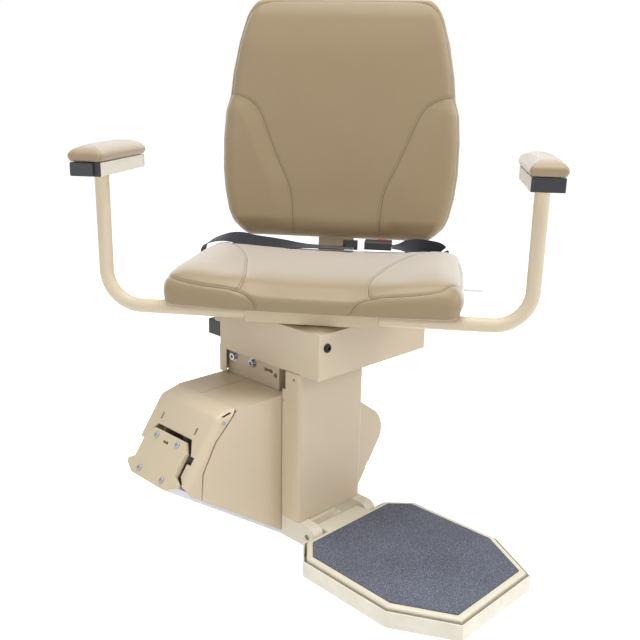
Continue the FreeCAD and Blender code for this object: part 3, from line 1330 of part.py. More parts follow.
strap_low = seat_low - s.soft_gap - s.belt_thickness
belt_y = (s.belt_back - s.belt_width, s.belt_back)
strap_side = s.seat_half + 10
tongue_x = (s.tongue_left, s.tongue_left + s.tongue_width)
left_route = [
    (-s.seat_half + 130, strap_low),
    (-s.seat_half - 2, strap_low),
    (-strap_side, strap_low + 14),
    (-strap_side - 3, strap_low + 42),
    (-strap_side + 6, strap_low + 60),
    (-strap_side + 32, strap_low + 71),
    (-strap_side + 76, strap_low + 70),
    (-strap_side + 120, strap_low + 62),
    (-strap_side + 176, strap_low + 54),
    (tongue_x[1], strap_low + 54),
]
sub_part("left_belt_strap", prism("y", belt_y, band([(float(a), float(b)) for a, b in left_route],
                                                     -float(s.belt_thickness))), seat_frame)
buckle_x = (s.buckle_left, s.buckle_left + s.buckle_length)
buckle_y = (s.belt_back - s.buckle_depth, s.belt_back)
buckle_z = (s.buckle_low, s.buckle_low + s.buckle_height)
strap_mid = s.buckle_low + 7
upright_x = (204.0, 238.0)
upright_y = (s.seat_back + 2.5, s.seat_back + 2.5 + s.belt_thickness)
upright_top = 504.0
right_strap = join(
    box((buckle_x[1], 186), (buckle_y[0] + 4, buckle_y[1] - 4),
        (strap_mid, strap_mid + s.belt_thickness)),
    box((176, 186), (buckle_y[0] + 4, upright_y[1]), (strap_mid, strap_mid + s.belt_thickness)),
    box((176, upright_x[1]), upright_y, (upright_top - s.belt_width, upright_top)),
    box(upright_x, upright_y, (strap_low, upright_top)),
    box(upright_x, (s.seat_hinge_y - 40, upright_y[1]),
        (strap_low, strap_low + s.belt_thickness)))
sub_part("right_belt_strap", right_strap, seat_frame)
buckle = rounded(box(buckle_x, buckle_y, buckle_z), 3, along("x"))
button_x = (buckle_x[0] + 24, buckle_x[0] + 46)
button_y = (buckle_y[1] - 13, buckle_y[1] - 4)
well_gap = 0.4
button_well = box((button_x[0] - well_gap, button_x[1] + well_gap),
                  (button_y[0] - well_gap, button_y[1] + well_gap),
                  (buckle_z[1] - 5 - s.button_travel, buckle_z[1] + 1))
tongue_slot = box((buckle_x[0] - 1, buckle_x[0] + 22), (buckle_y[0] + 4, buckle_y[0] + 24),
                  (buckle_z[0] + 4, buckle_z[0] + 9))
sub_part("belt_buckle", cut(buckle, button_well, tongue_slot), seat_frame)
button = box(button_x, button_y, (buckle_z[1] - 5, buckle_z[1] + 1))
sub_part("buckle_button", button, seat_frame)
tongue_low = strap_low + 54
cap_y = (belt_y[1] - 14, belt_y[1] - 4)
tongue_plate = box((tongue_x[0] + 6, tongue_x[1] - 6), (belt_y[0] - 4, cap_y[0] + 1),
                   (tongue_low + 3, tongue_low + 6))
tongue_cap = box(tongue_x, cap_y, (tongue_low, tongue_low + 19))
sub_part("belt_tongue", join(tongue_plate, tongue_cap), seat_frame)

doc.recompute()
faults = ["%s %s" % (obj.Label, obj.State) for obj in doc.Objects
          if "Invalid" in obj.State or "Error" in obj.State]
for name, obj in nodes.items():
    if obj.Shape.isNull() or not obj.Shape.isValid() or not obj.Shape.Solids:
        faults.append(name)
if faults:
    raise RuntimeError("failed: " + ", ".join(faults))

os.makedirs("parts", exist_ok=True)
for name, obj in nodes.items():
    obj.Shape.exportStep(os.path.join("parts", name + ".step"))
print(len(nodes), "nodes")
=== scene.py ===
import math

import bmesh
import bpy
import numpy as np
from mathutils import Matrix, Vector


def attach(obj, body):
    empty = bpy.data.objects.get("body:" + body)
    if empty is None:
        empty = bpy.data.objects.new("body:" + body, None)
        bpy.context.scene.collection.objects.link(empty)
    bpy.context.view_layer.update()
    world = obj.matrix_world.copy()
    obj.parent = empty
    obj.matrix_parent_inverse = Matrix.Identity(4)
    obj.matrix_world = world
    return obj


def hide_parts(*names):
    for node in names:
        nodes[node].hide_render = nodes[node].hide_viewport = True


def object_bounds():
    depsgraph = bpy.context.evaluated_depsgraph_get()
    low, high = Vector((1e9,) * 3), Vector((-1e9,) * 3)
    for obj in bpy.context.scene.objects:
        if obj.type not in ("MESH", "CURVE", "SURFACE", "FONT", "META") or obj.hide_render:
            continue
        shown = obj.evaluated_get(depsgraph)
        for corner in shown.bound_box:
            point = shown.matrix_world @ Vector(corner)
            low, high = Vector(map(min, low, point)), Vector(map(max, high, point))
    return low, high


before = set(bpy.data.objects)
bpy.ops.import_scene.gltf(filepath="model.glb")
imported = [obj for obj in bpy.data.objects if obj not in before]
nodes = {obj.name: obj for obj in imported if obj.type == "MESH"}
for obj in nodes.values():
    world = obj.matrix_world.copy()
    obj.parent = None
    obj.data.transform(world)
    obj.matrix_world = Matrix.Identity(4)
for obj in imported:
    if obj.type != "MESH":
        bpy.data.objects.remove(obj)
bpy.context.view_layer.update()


# Rail section: a short length of drawn aluminium rail, cut square at both ends.
# A machined steel rack lies in its crown, and painted steel plates close its ends
# with four cross-head screws each.


def linear(red, green, blue):
    """A colour as it is seen on a screen, 0 to 255, in the renderer's own scale."""
    shades = [c / 255 for c in (red, green, blue)]
    return tuple(c / 12.92 if c <= 0.04045 else ((c + 0.055) / 1.055) ** 2.4
                 for c in shades) + (1.0,)


def shade(colour, share):
    """The colour made darker or lighter by a share."""
    return tuple(min(1.0, c * share) for c in colour[:3]) + (1.0,)


def feed(tree, socket, value):
    """Puts a plain value, or another node's output, into an input."""
    if isinstance(value, bpy.types.NodeSocket):
        tree.links.new(value, socket)
    else:
        socket.default_value = value


def add_node(tree, kind, **settings):
    """A new shader node; each setting is one of its inputs or one of its options."""
    made = tree.nodes.new(kind)
    for key, value in settings.items():
        socket = key.replace("_", " ")
        if socket in made.inputs:
            feed(tree, made.inputs[socket], value)
        else:
            setattr(made, key, value)
    return made


def dress(tree, shader, **inputs):
    """Feeds the shader's inputs."""
    for key, value in inputs.items():
        feed(tree, shader.inputs[key.replace("_", " ")], value)


def new_material(name, **shader_values):
    """A material with one Principled shader, and its tree."""
    material = bpy.data.materials.new(name)
    material.use_nodes = True
    tree = material.node_tree
    shader = tree.nodes["Principled BSDF"]
    dress(tree, shader, **shader_values)
    return material, tree, shader


def object_point(tree, scale=(1, 1, 1), turn=(0, 0, 0)):
    """The piece's own coordinates in metres, stretched and turned for a pattern."""
    source = add_node(tree, "ShaderNodeTexCoord").outputs["Object"]
    mapping = add_node(tree, "ShaderNodeMapping", Vector=source, Scale=scale, Rotation=turn)
    return mapping.outputs["Vector"]


def noise(tree, point, **settings):
    """A cloudy pattern over the point."""
    return add_node(tree, "ShaderNodeTexNoise", Vector=point, **settings).outputs["Fac"]


def blend(tree, factor, below, above):
    """A colour that runs from one to another with the factor."""
    mixed = add_node(tree, "ShaderNodeMix", data_type="RGBA", A=below, B=above,
                     Factor=factor)
    return mixed.outputs["Result"]


def spread(tree, source, low, high, start=0.0, stop=1.0):
    """A pattern's run from start to stop brought between two values."""
    change = add_node(tree, "ShaderNodeMapRange", Value=source, From_Min=start,
                      From_Max=stop, To_Min=low, To_Max=high)
    return change.outputs["Result"]


def worked(tree, operation, *values):
    """A sum, product or the like of patterns and plain numbers."""
    made = add_node(tree, "ShaderNodeMath", operation=operation)
    for socket, value in zip(made.inputs, values):
        feed(tree, socket, value)
    return made.outputs["Value"]


def bump(tree, height, depth, strength=1.0, **more):
    """The surface raised by the pattern's height times depth, in metres."""
    raised = add_node(tree, "ShaderNodeBump", Height=height, Strength=strength,
                      Distance=depth, **more)
    return raised.outputs["Normal"]


def metal(name, colour, roughness, stretch=(1, 1, 1), turn=(0, 0, 0), grain=900.0):
    """Bare metal with fine lines or a fine grain from its making."""
    material, tree, shader = new_material(name, Metallic=1.0)
    lines = noise(tree, object_point(tree, stretch, turn), Scale=grain, Detail=4.0)
    stain = noise(tree, object_point(tree), Scale=14.0, Detail=3.0)
    dress(tree, shader,
          Base_Color=blend(tree, stain, shade(colour, 0.86), shade(colour, 1.06)),
          Roughness=spread(tree, lines, roughness - 0.08, roughness + 0.12),
          Normal=bump(tree, lines, 0.00003))
    return material


def powder_coat(name, colour, roughness=0.44, pebble=0.00006, edge=0.0013):
    """Baked powder paint: an even colour over a fine orange peel, run thick and
    soft over the edges of the sheet."""
    material, tree, shader = new_material(name, Specular_IOR_Level=0.42)
    point = object_point(tree)
    peel = noise(tree, point, Scale=620.0, Detail=2.0, Roughness=0.45)
    cloud = noise(tree, point, Scale=7.0, Detail=3.0)
    fleck = noise(tree, point, Scale=1900.0, Detail=1.0)
    uneven = spread(tree, worked(tree, "MULTIPLY_ADD", fleck, 0.45, cloud), -0.1, 0.85)
    softened = add_node(tree, "ShaderNodeBevel", samples=4, Radius=edge).outputs["Normal"]
    dress(tree, shader,
          Base_Color=blend(tree, uneven, shade(colour, 0.955), shade(colour, 1.04)),
          Roughness=spread(tree, peel, roughness - 0.06, roughness + 0.08),
          Normal=bump(tree, peel, pebble, Normal=softened))
    return material


def finish(material, *names):
    """Gives CAD nodes a material."""
    for name in names:
        nodes[name].data.materials.clear()
        nodes[name].data.materials.append(material)


rail_incline = math.radians(35)
drawn_alloy = metal("drawn_alloy", linear(196, 198, 201), 0.34, stretch=(0.02, 1, 1),
                    turn=(0, -rail_incline, 0), grain=1400.0)
cut_steel = metal("cut_steel", linear(140, 141, 143), 0.36, stretch=(1, 0.05, 1),
                  grain=1100.0)
bright_zinc = metal("bright_zinc", linear(176, 178, 183), 0.3)
finish(drawn_alloy, "rail_section")
finish(cut_steel, "gear_rack")
finish(bright_zinc, "rail_end_screws")
finish(powder_coat("plate_paint", linear(212, 197, 168)), "rail_end_caps")


# Running gear: a painted steel chassis with turned axles, nylon rollers, a steel
# pinion on a cast gearbox, the drive motor, the batteries and the control box.


def moulded(name, colour, roughness=0.5, grain=1500.0, **more):
    """Moulded plastic or rubber with a fine sparked grain."""
    material, tree, shader = new_material(name, **more)
    point = object_point(tree)
    spark = noise(tree, point, Scale=grain, Detail=2.0)
    cloud = noise(tree, point, Scale=22.0, Detail=2.0)
    dress(tree, shader,
          Base_Color=blend(tree, cloud, shade(colour, 0.88), shade(colour, 1.14)),
          Roughness=spread(tree, spark, roughness - 0.1, roughness + 0.12),
          Normal=bump(tree, spark, 0.00003))
    return material


turned_steel = metal("turned_steel", linear(150, 151, 153), 0.3, stretch=(1, 0.08, 1))
roller_nylon = moulded("roller_nylon", linear(226, 222, 210), 0.4)
finish(powder_coat("chassis_paint", linear(206, 190, 160)), "chassis")
finish(turned_steel, "roller_axles", "drive_pinion")
finish(roller_nylon, "upper_load_roller", "lower_load_roller", "upper_guide_rollers",
       "lower_guide_rollers")
finish(metal("cast_alloy", linear(168, 168, 166), 0.5, grain=420.0), "gearbox")
finish(moulded("motor_black", linear(38, 38, 40), 0.42), "drive_motor")
finish(moulded("battery_case", linear(88, 90, 94), 0.48), "batteries")
finish(moulded("control_case", linear(58, 84, 70), 0.5), "control_box")


# Carriage covers and hoods: pressed steel shells round the running gear. The
# hoods at both ends slide a little on their runners and stop the drive.
cover_paint = powder_coat("cover_paint", linear(212, 196, 170))
finish(cover_paint, "front_cover", "rear_cover", "upper_hood", "lower_hood")
finish(bright_zinc, "upper_hood_screws", "lower_hood_screws")


# Seat support: levelling bracket with its two bolts, the column over the upright,
# and the folded housing round the swivel, with its bearing, its spindle and the
# switch that stops the drive.
black_bolt = moulded("black_bolt", linear(30, 30, 32), 0.34, Metallic=0.6)
black_plastic = moulded("black_plastic", linear(46, 46, 49), 0.46)
finish(cover_paint, "levelling_bracket", "seat_support", "column_cover", "swivel_housing")
finish(bright_zinc, "levelling_bolts")
finish(turned_steel, "swivel_bearing", "swivel_spindle")
finish(black_bolt, "housing_screw")
finish(black_plastic, "interlock_switch")


# Footrest: painted platform that folds on a pin through its bracket, a glued sheet
# of dark abrasive grip, and a light moulded pan that hangs under it on studs and
# lifts when it meets a step.


def grip_sheet(name, dark, light):
    """Mineral grit on a dark film: pale specks, a rough and sparkling skin."""
    material, tree, shader = new_material(name, Specular_IOR_Level=0.35)
    point = object_point(tree)
    grit = add_node(tree, "ShaderNodeTexVoronoi", Vector=point, Scale=760.0,
                    Randomness=1.0).outputs["Distance"]
    specks = noise(tree, point, Scale=520.0, Detail=4.0, Roughness=0.75)
    wear = noise(tree, point, Scale=9.0, Detail=4.0)
    sharp = spread(tree, specks, 0.0, 1.0, 0.46, 0.62)
    mixed = worked(tree, "MULTIPLY_ADD", sharp, 0.75, spread(tree, wear, 0.0, 0.3))
    dress(tree, shader, Base_Color=blend(tree, mixed, dark, light),
          Roughness=spread(tree, specks, 0.55, 0.9),
          Normal=bump(tree, grit, 0.00025, 0.8))
    return material


foot_paint = powder_coat("foot_paint", linear(226, 219, 200))
finish(foot_paint, "footrest_platform", "footrest_bracket")
finish(turned_steel, "footrest_hinge_pin")
finish(moulded("pan_plastic", linear(232, 226, 210), 0.4), "footrest_pan")
finish(bright_zinc, "pan_studs")
finish(grip_sheet("grip", linear(50, 52, 60), linear(140, 145, 164)), "footrest_mat")


# Seat base: an upturned painted tray that swivels on the bearing, the bracket that
# carries the back, and the flat white lever that frees the swivel.
base_paint = powder_coat("base_paint", linear(214, 198, 168))
finish(base_paint, "seat_base", "back_bracket")
finish(turned_steel, "seat_hinge_pins", "lever_pivot")
finish(moulded("lever_white", linear(240, 240, 243), 0.35), "swivel_lever")


# Arms: bent steel tube under a channel section, both painted, with black end
# caps; the left front cap carries the rocker that the fingers tip.
tube_paint = powder_coat("tube_paint", linear(222, 207, 180), 0.36, 0.00004)
channel_paint = powder_coat("channel_paint", linear(236, 230, 219), 0.4, 0.00004)
finish(tube_paint, "left_arm_tube", "right_arm_tube")
finish(channel_paint, "left_armrest_channel", "right_armrest_channel")
finish(black_plastic, "left_armrest_caps", "right_armrest_caps")
finish(moulded("rocker_black", linear(58, 58, 61), 0.52), "direction_rocker")


# Armrest pads: foam on a plate under coated cloth, domed like a pillow, widest a
# third of the way up and drawn in below. Four panels meet in seams at the corners.
# Shapes are in millimetres in the seat's frame, x across, y rearward and z up, and
# the places of the swivel and of the back's foot are in metres.
MM = 0.001
swivel_at = (0.197, -0.043, 0.0)
seat_turn = math.radians(-53.5)
seat_place = Matrix.Translation(swivel_at) @ Matrix.Rotation(seat_turn, 4, "Z")


def soft_block(low, high, steps, rounds, mitre=2.0):
    """A closed block of small quads, in millimetres, with each face's own rounding.

    rounds gives how far the rounding reaches in from each pair of faces. A mitre
    over 2 keeps the corners square in plan, as where flat panels are sewn."""
    low, high = np.array(low, float), np.array(high, float)
    block = bmesh.new()
    bmesh.ops.create_cube(block, size=1.0)
    for axis in range(3):
        ways = [e for e in block.edges
                if abs((e.verts[0].co - e.verts[1].co)[axis]) > 0.5]
        bmesh.ops.subdivide_edges(block, edges=ways, cuts=steps[axis] - 1,
                                  use_grid_fill=True)
    points = np.array([v.co for v in block.verts]) + 0.5
    points = low + points * (high - low)
    reach_low, reach_high = np.array(rounds, float).T
    under = np.minimum(points - (low + reach_low), 0.0)
    over = np.maximum(points - (high - reach_high), 0.0)
    reach = np.where(under < 0, reach_low, reach_high)
    away = (under + over) / reach
    flat = (np.abs(away[:, 0]) ** mitre + np.abs(away[:, 1]) ** mitre) ** (1 / mitre)
    size = np.sqrt(flat ** 2 + away[:, 2] ** 2)
    size[size == 0] = 1.0
    core = points - under - over
    return block, core + away / size[:, None] * reach


def smooth(value, start, stop):
    """0 before start, 1 after stop, and a smooth rise between them."""
    share = np.clip((value - start) / (stop - start), 0.0, 1.0)
    return share * share * (3.0 - 2.0 * share)


def stand(name, data):
    """Puts a mesh, a lamp or a camera in the scene."""
    piece = bpy.data.objects.new(name, data)
    bpy.context.scene.collection.objects.link(piece)
    return piece


def piece_of(name, block, place):
    """Makes a finished block a piece in its place, with its faces outwards."""
    block.transform(place)
    bmesh.ops.recalc_face_normals(block, faces=block.faces)
    for face in block.faces:
        face.smooth = True
    mesh = bpy.data.meshes.new(name)
    block.to_mesh(mesh)
    block.free()
    return stand(name, mesh)


def settle(name, block, points, place, ease=0, above=0.0):
    """Makes the block a piece, with its points in millimetres put in their place.
    Above a height it is eased as often as said, as foam rounds off a fold."""
    for vert, point in zip(block.verts, points):
        vert.co = Vector(point) * MM
    loose = [vert for vert in block.verts if vert.co.z > above * MM]
    for _ in range(ease):
        bmesh.ops.smooth_vert(block, verts=loose, factor=0.5, use_axis_x=True,
                              use_axis_y=True, use_axis_z=True)
    return piece_of(name, block, place)


def flow(points, step=1.5):
    """Points close together on a smooth line through the given ones."""
    given = np.array(points, float)
    line = []
    ends = np.vstack([2 * given[0] - given[1], given, 2 * given[-1] - given[-2]])
    for before, start, stop, after in zip(ends, ends[1:], ends[2:], ends[3:]):
        count = max(2, int(np.linalg.norm(stop - start) / step))
        for t in np.linspace(0, 1, count, endpoint=False):
            line.append(0.5 * (2 * start + (stop - before) * t
                               + (2 * before - 5 * start + 4 * stop - after) * t ** 2
                               + (3 * start - before - 3 * stop + after) * t ** 3))
    line.append(given[-1])
    return np.array(line)


def nearest_on(line, points, normals):
    """Each point's signed way across to the line, and its way along the line."""
    start, way = line[:-1], np.diff(line, axis=0)
    length = np.linalg.norm(way, axis=1)
    run = np.concatenate([[0.0], np.cumsum(length)])
    best = np.full(len(points), np.inf)
    across, along = np.zeros(len(points)), np.zeros(len(points))
    for index in range(len(way)):
        offset = points - start[index]
        share = np.clip(offset @ way[index] / length[index] ** 2, 0.0, 1.0)
        gap = offset - share[:, None] * way[index]
        far = np.linalg.norm(gap, axis=1)
        closer = far < best
        best[closer] = far[closer]
        side = np.sign(np.einsum("ij,ij->i", np.cross(way[index], gap), normals))
        across[closer] = (far * np.where(side == 0, 1, side))[closer]
        along[closer] = (run[index] + share * length[index])[closer]
    return across, along


def sew(piece, lines, depth, width):
    """Draws the skin in along each line, in metres, and keeps each point's signed
    way to the line and along it, in millimetres, for the stitches."""
    reach = 0.03
    out_of_reach = 60.0
    deepest = depth * 1.3
    mesh = piece.data
    count = len(mesh.vertices)
    flat = np.zeros(count * 3)
    mesh.vertices.foreach_get("co", flat)
    points = flat.reshape(-1, 3).copy()
    mesh.vertices.foreach_get("normal", flat)
    normals = flat.reshape(-1, 3).copy()
    pull = np.zeros(count)
    for number, line in enumerate(lines):
        across = np.full(count, out_of_reach)
        along = np.zeros(count)
        low, high = line.min(0) - reach, line.max(0) + reach
        near = np.where(np.all((points > low) & (points < high), axis=1))[0]
        beside, onward = nearest_on(line, points[near], normals[near])
        across[near] = beside / MM
        along[near] = onward / MM
        pull += depth * np.exp(-(across / width) ** 2)
        for label, values in (("seam%d" % number, across), ("run%d" % number, along)):
            kept = mesh.attributes.new(label, "FLOAT", "POINT")
            kept.data.foreach_set("value", values.astype(np.float32))
    points -= normals * np.minimum(pull, deepest)[:, None] * MM
    mesh.vertices.foreach_set("co", points.ravel())
    mesh.update()


def falling(tree, value, start, stop):
    """1 up to start, 0 from stop on, and a smooth fall between them."""
    fall = add_node(tree, "ShaderNodeMapRange", Value=value, From_Min=start,
                    From_Max=stop, To_Min=1.0, To_Max=0.0,
                    interpolation_type="SMOOTHSTEP")
    return fall.outputs["Result"]


def painted_sheen(tree, cloth, sheen_colour):
    """The cloth's colour with a painted sheen: upper faces seen at a grazing angle are turned
    pale, as a highlight from the light above.
    """
    facing = add_node(tree, "ShaderNodeLayerWeight", Blend=0.5).outputs["Facing"]
    lie = add_node(tree, "ShaderNodeNewGeometry").outputs["Normal"]
    rising = add_node(tree, "ShaderNodeSeparateXYZ", Vector=lie).outputs["Z"]
    sheen_share = worked(tree, "MULTIPLY", spread(tree, facing, 0.0, 0.5, 0.42, 0.86),
                   spread(tree, rising, 0.0, 1.0, 0.0, 0.4))
    return blend(tree, sheen_share, cloth, sheen_colour)


def upholstery(name, colour, seams, roughness, twin=0.0):
    """Coated cloth with a fine leather grain, painted shade darkening each seam's groove, a
    row of stitches beside each of them, and a painted sheen on the upper faces; twin is how
    far the stitches stand off, in millimetres."""
    half_pitch = 1.6
    material, tree, shader = new_material(name, Specular_IOR_Level=0.45, Sheen_Weight=0.7,
                                          Sheen_Roughness=0.35)
    point = object_point(tree)
    grain = add_node(tree, "ShaderNodeTexVoronoi", Vector=point, Scale=720.0,
                     feature="SMOOTH_F1", Smoothness=0.6).outputs["Distance"]
    fine = noise(tree, point, Scale=1500.0, Detail=3.0)
    cloud = noise(tree, point, Scale=6.0, Detail=4.0, Roughness=0.6)
    cloth = blend(tree, cloud, shade(colour, 0.93), shade(colour, 1.06))
    # painted sheen: upper faces turned pale where seen at a grazing angle, a highlight
    # painted in for the light above
    coloured = painted_sheen(tree, cloth, linear(232, 227, 220))
    normal = bump(tree, worked(tree, "MULTIPLY_ADD", fine, 0.35, grain), 0.00012, 0.35)
    for number in range(seams):
        across = add_node(tree, "ShaderNodeAttribute", attribute_name="seam%d" % number)
        along = add_node(tree, "ShaderNodeAttribute", attribute_name="run%d" % number)
        aside = across.outputs["Fac"]
        crease = falling(tree, worked(tree, "ABSOLUTE", aside), 0.2, 0.9)
        # painted shade: the cloth darkened along the bottom of the seam's groove
        coloured = blend(tree, worked(tree, "MULTIPLY", crease, 0.8), coloured,
                         shade(colour, 0.34))
        height = crease
        if twin:
            off = worked(tree, "ABSOLUTE", worked(tree, "SUBTRACT", aside, twin))
            thread = falling(tree, off, 0.3, 0.9)
            beat = worked(tree, "PINGPONG", along.outputs["Fac"], half_pitch)
            sewn = worked(tree, "MULTIPLY", thread, spread(tree, beat, 0.0, 1.0, 0.25, 0.6))
            coloured = blend(tree, worked(tree, "MULTIPLY", thread, 0.45), coloured,
                             shade(colour, 0.6))
            height = worked(tree, "MULTIPLY_ADD", sewn, 0.7, height)
        normal = bump(tree, height, 0.0005, 0.9, Normal=normal, invert=True)
    dress(tree, shader, Base_Color=coloured, Normal=normal,
          Roughness=spread(tree, grain, roughness + 0.06, roughness - 0.06))
    return material


def on_surface(piece, line, place):
    """The line's points, in millimetres, moved to the nearest point of the piece."""
    found = []
    for point in line:
        spot = place @ (Vector(point) * MM)
        found.append(piece.closest_point_on_mesh(spot)[1])
    return np.array(found)


arm_half = 379.0
armrest_front, armrest_back = -214.5, -5.5
armrest_middle = (armrest_front + armrest_back) / 2
pad_half, pad_low, pad_high = 30.5, 674.7, 704.0
front_overhang, back_overhang = 5.5, 6.0
pad_quads = (46, 150, 24)
pad_rounding = ((28, 28), (32, 32), (2.0, 19))
pad_mitre = 9.0
foot_draw = 0.15
end_draw = 0.28
end_droop = 3.0
# each corner seam: a share of the half width, the way in from the end, the rise
corner_line = ((0.89, 2.5, 0.5), (0.96, 1.4, 5), (0.985, 1.0, 11), (0.9, 4.0, 18.5),
               (0.62, 13.0, 26.5), (0.3, 24.0, 30.5))
corner_step = 0.0015
corner_depth, corner_width = 0.55, 1.6
pad_skin = upholstery("pad_skin", linear(166, 146, 116), seams=4, roughness=0.4)
for name, side in (("left", -1), ("right", 1)):
    middle = side * arm_half
    low = (middle - pad_half, armrest_front - front_overhang, pad_low)
    high = (middle + pad_half, armrest_back + back_overhang, pad_high)
    block, points = soft_block(low, high, pad_quads, pad_rounding, pad_mitre)
    rise = points[:, 2] - pad_low
    drawn = 1 - foot_draw * (1 - smooth(rise, -5.0, 10.5))
    points[:, 0] = middle + (points[:, 0] - middle) * drawn
    points[:, 1] = (armrest_middle
                    + (points[:, 1] - armrest_middle) * (1 - (1 - drawn) * end_draw))
    to_end = smooth(np.abs(points[:, 1] - armrest_middle), 40.0, 112.0)
    points[:, 2] -= end_droop * to_end * smooth(rise, 8, 30)
    pad = settle(name + "_pad", block, points, seat_place)
    corners = []
    for end_y, inward in ((low[1], 1), (high[1], -1)):
        for across in (-1, 1):
            edge = [(middle + across * pad_half * share, end_y + inward * inset, pad_low + up)
                    for share, inset, up in corner_line]
            placed = [seat_place @ (Vector(point) * MM) for point in edge]
            corners.append(flow(placed, corner_step))
    sew(pad, corners, corner_depth, corner_width)
    pad.data.materials.append(pad_skin)
    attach(pad, name + "_arm")
    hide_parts(name + "_armrest_pad")


# Seat cushion: moulded foam on a board in a coated-cloth cover. A middle panel
# runs over the front in one piece between two side panels; the sides are boxed.
# The cover sits a little to one side, with its seams.
finish(moulded("board_ply", linear(178, 148, 108), 0.6, 240.0), "seat_board")
seat_low = (-264.0, -189.5, 428.9)
seat_high = (264.0, 150.0, 481.5)
seat_quads = (220, 150, 26)
seat_rounding = ((27, 27), (46, 26), (9, 22))
seat_mitre = 2.3
corner_setback = 9.0
roll_drop, roll_draw = 13.0, 7.0
bolster_rise, bolster_at, bolster_width = 10.0, 218.0, 52.0
dish_depth, dish_width = 3.0, 90.0
side_swell, rear_side_loss = 5.5, 4.0
front_swell, corner_swell = 3.5, 4.5
front_hang = 8.5
front_shift, seam_shift = 2.5, 10.0
foam_ease, ease_above = 80, 434.0
seat_seam_depth, seat_seam_width, seam_step = 1.7, 3.4, 2.0
cover_tan = linear(157, 137, 105)

block, points = soft_block(seat_low, seat_high, seat_quads, seat_rounding, seat_mitre)
lateral, depth, height = points.T.copy()
fore = -depth
beside = np.abs(lateral)
top = smooth(height, 446.0, 474.0)
# the front edge bows forward in the middle and the front corners are drawn back
points[:, 1] += smooth(fore, 60.0, 190.0) * corner_setback * (beside / 263.0) ** 3
# the middle panel rolls over the front in a long curve
roll = smooth(fore, 85.0, 188.0) ** 1.6
points[:, 2] -= top * (1 - smooth(beside, 70.0, 150.0)) * roll_drop * roll
points[:, 1] += (1 - smooth(beside, 90.0, 180.0)) * roll_draw * smooth(height, 440.0, 480.0) \
    * smooth(fore, 140.0, 190.0)
# the side bolsters, lower at the front and the rear, and the dished middle
bolster = np.exp(-((beside - bolster_at) / bolster_width) ** 2)
dish = np.exp(-(beside / dish_width) ** 2)
points[:, 2] += top * (bolster * bolster_rise - dish_depth * dish) \
    * (1 - 0.5 * smooth(fore, 100.0, 186.0)) * (1 - 0.45 * smooth(-fore, 50.0, 125.0))
# the boxed sides and front swell between the seams
belly = np.sin(np.clip((height - 430.0) / 44.0, 0.0, 1.0) * math.pi)
points[:, 0] += np.sign(lateral) * belly * smooth(beside, 225.0, 262.0) \
    * (side_swell - rear_side_loss * smooth(depth, 30.0, 110.0))
points[:, 1] -= belly * smooth(fore, 150.0, 186.0) \
    * (front_swell + corner_swell * smooth(beside, 60.0, 170.0))
# the front hangs a little over the edge of the board, before the base's front
points[:, 2] -= front_hang * smooth(fore, 167.0, 182.0) * (1 - smooth(height, 430.0, 462.0))
points[:, 0] -= front_shift * smooth(fore, -20.0, 120.0)
cushion = settle("cushion", block, points, seat_place, foam_ease, ease_above)

# the seams of one side: round the boxed edge and down the front, and up the middle
border_line = ((262, 40, 473), (266, -60, 471), (261, -128, 470), (234, -170, 470),
               (186, -190, 470.5), (142, -196, 470.5), (116, -198, 468), (104, -199, 462),
               (95, -199, 452), (86, -199, 438), (82, -194, 424))
inlay_line = ((116, -197, 469), (108, -184, 478), (111, -142, 484), (124, -80, 488),
              (142, 0, 490), (172, 70, 490), (206, 128, 488), (214, 148, 470))
seat_seams = [[(side * x - seam_shift, y, z) for x, y, z in line]
              for side in (-1, 1) for line in (border_line, inlay_line)]
lines = [on_surface(cushion, flow(line, seam_step), seat_place) for line in seat_seams]
sew(cushion, lines, seat_seam_depth, seat_seam_width)
cushion.data.materials.append(
    upholstery("seat_skin", cover_tan, seams=4, roughness=0.4, twin=4.2))
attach(cushion, "seat_pad")
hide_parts("seat_cushion")


# Backrest: foam on a moulded shell under the same cover, leaning back on the seat
# base's bracket. Two side panels stand a little proud below the shoulders, and a
# seam runs round the border.
finish(moulded("shell_plastic", linear(150, 132, 104), 0.5), "back_shell")
back_foot = (0.0, 0.158, 0.501)
back_lean = math.radians(-5)
back_place = seat_place @ Matrix.Translation(back_foot) @ Matrix.Rotation(back_lean, 4, "X")
widest, back_thick, back_low, back_tall = 248.0, 45.6, -3.0, 478.0
back_quads = (190, 24, 180)
back_rounding = ((30, 30), (24, 6), (46, 40))
panel_swell, middle_dip, head_draw = 5.5, 4.0, 9.0
border_inset = 9
back_seam_depth, back_seam_width, rim_step = 1.5, 3.2, 2.5
# heights above the foot, each with the back's half width there
back_outline = ((0, 211), (26, 226), (50, 235), (90, 243), (135, 247.5), (200, 247.5),
                (255, 243), (285, 234), (330, 229), (395, 216), (441, 202), (478, 190))
# heights above the foot, each with the side panel's seam there
panel_seam = ((8, 91), (66, 94), (105, 102), (148, 122), (193, 141), (236, 158),
              (267, 177), (284, 206))
panel_edge = panel_seam + ((290, 231),)
panel_line = ((0, 89),) + panel_seam + ((290, 236),)

block, points = soft_block((-widest, 0.0, back_low), (widest, back_thick, back_tall),
                           back_quads, back_rounding)
lateral, depth, height = points.T.copy()
outline_up, outline_half = np.array(back_outline, float).T
# the outline's corners are rounded over a few millimetres
kernel = np.hanning(9) / np.hanning(9).sum()
every_up = np.linspace(-20, 500, 521)
every_half = np.convolve(np.interp(every_up, outline_up, outline_half), kernel, mode="same")
points[:, 0] = lateral * np.interp(height, every_up, every_half) / widest
beside = np.abs(points[:, 0])
front = 1 - smooth(depth, 0.0, 26.0)
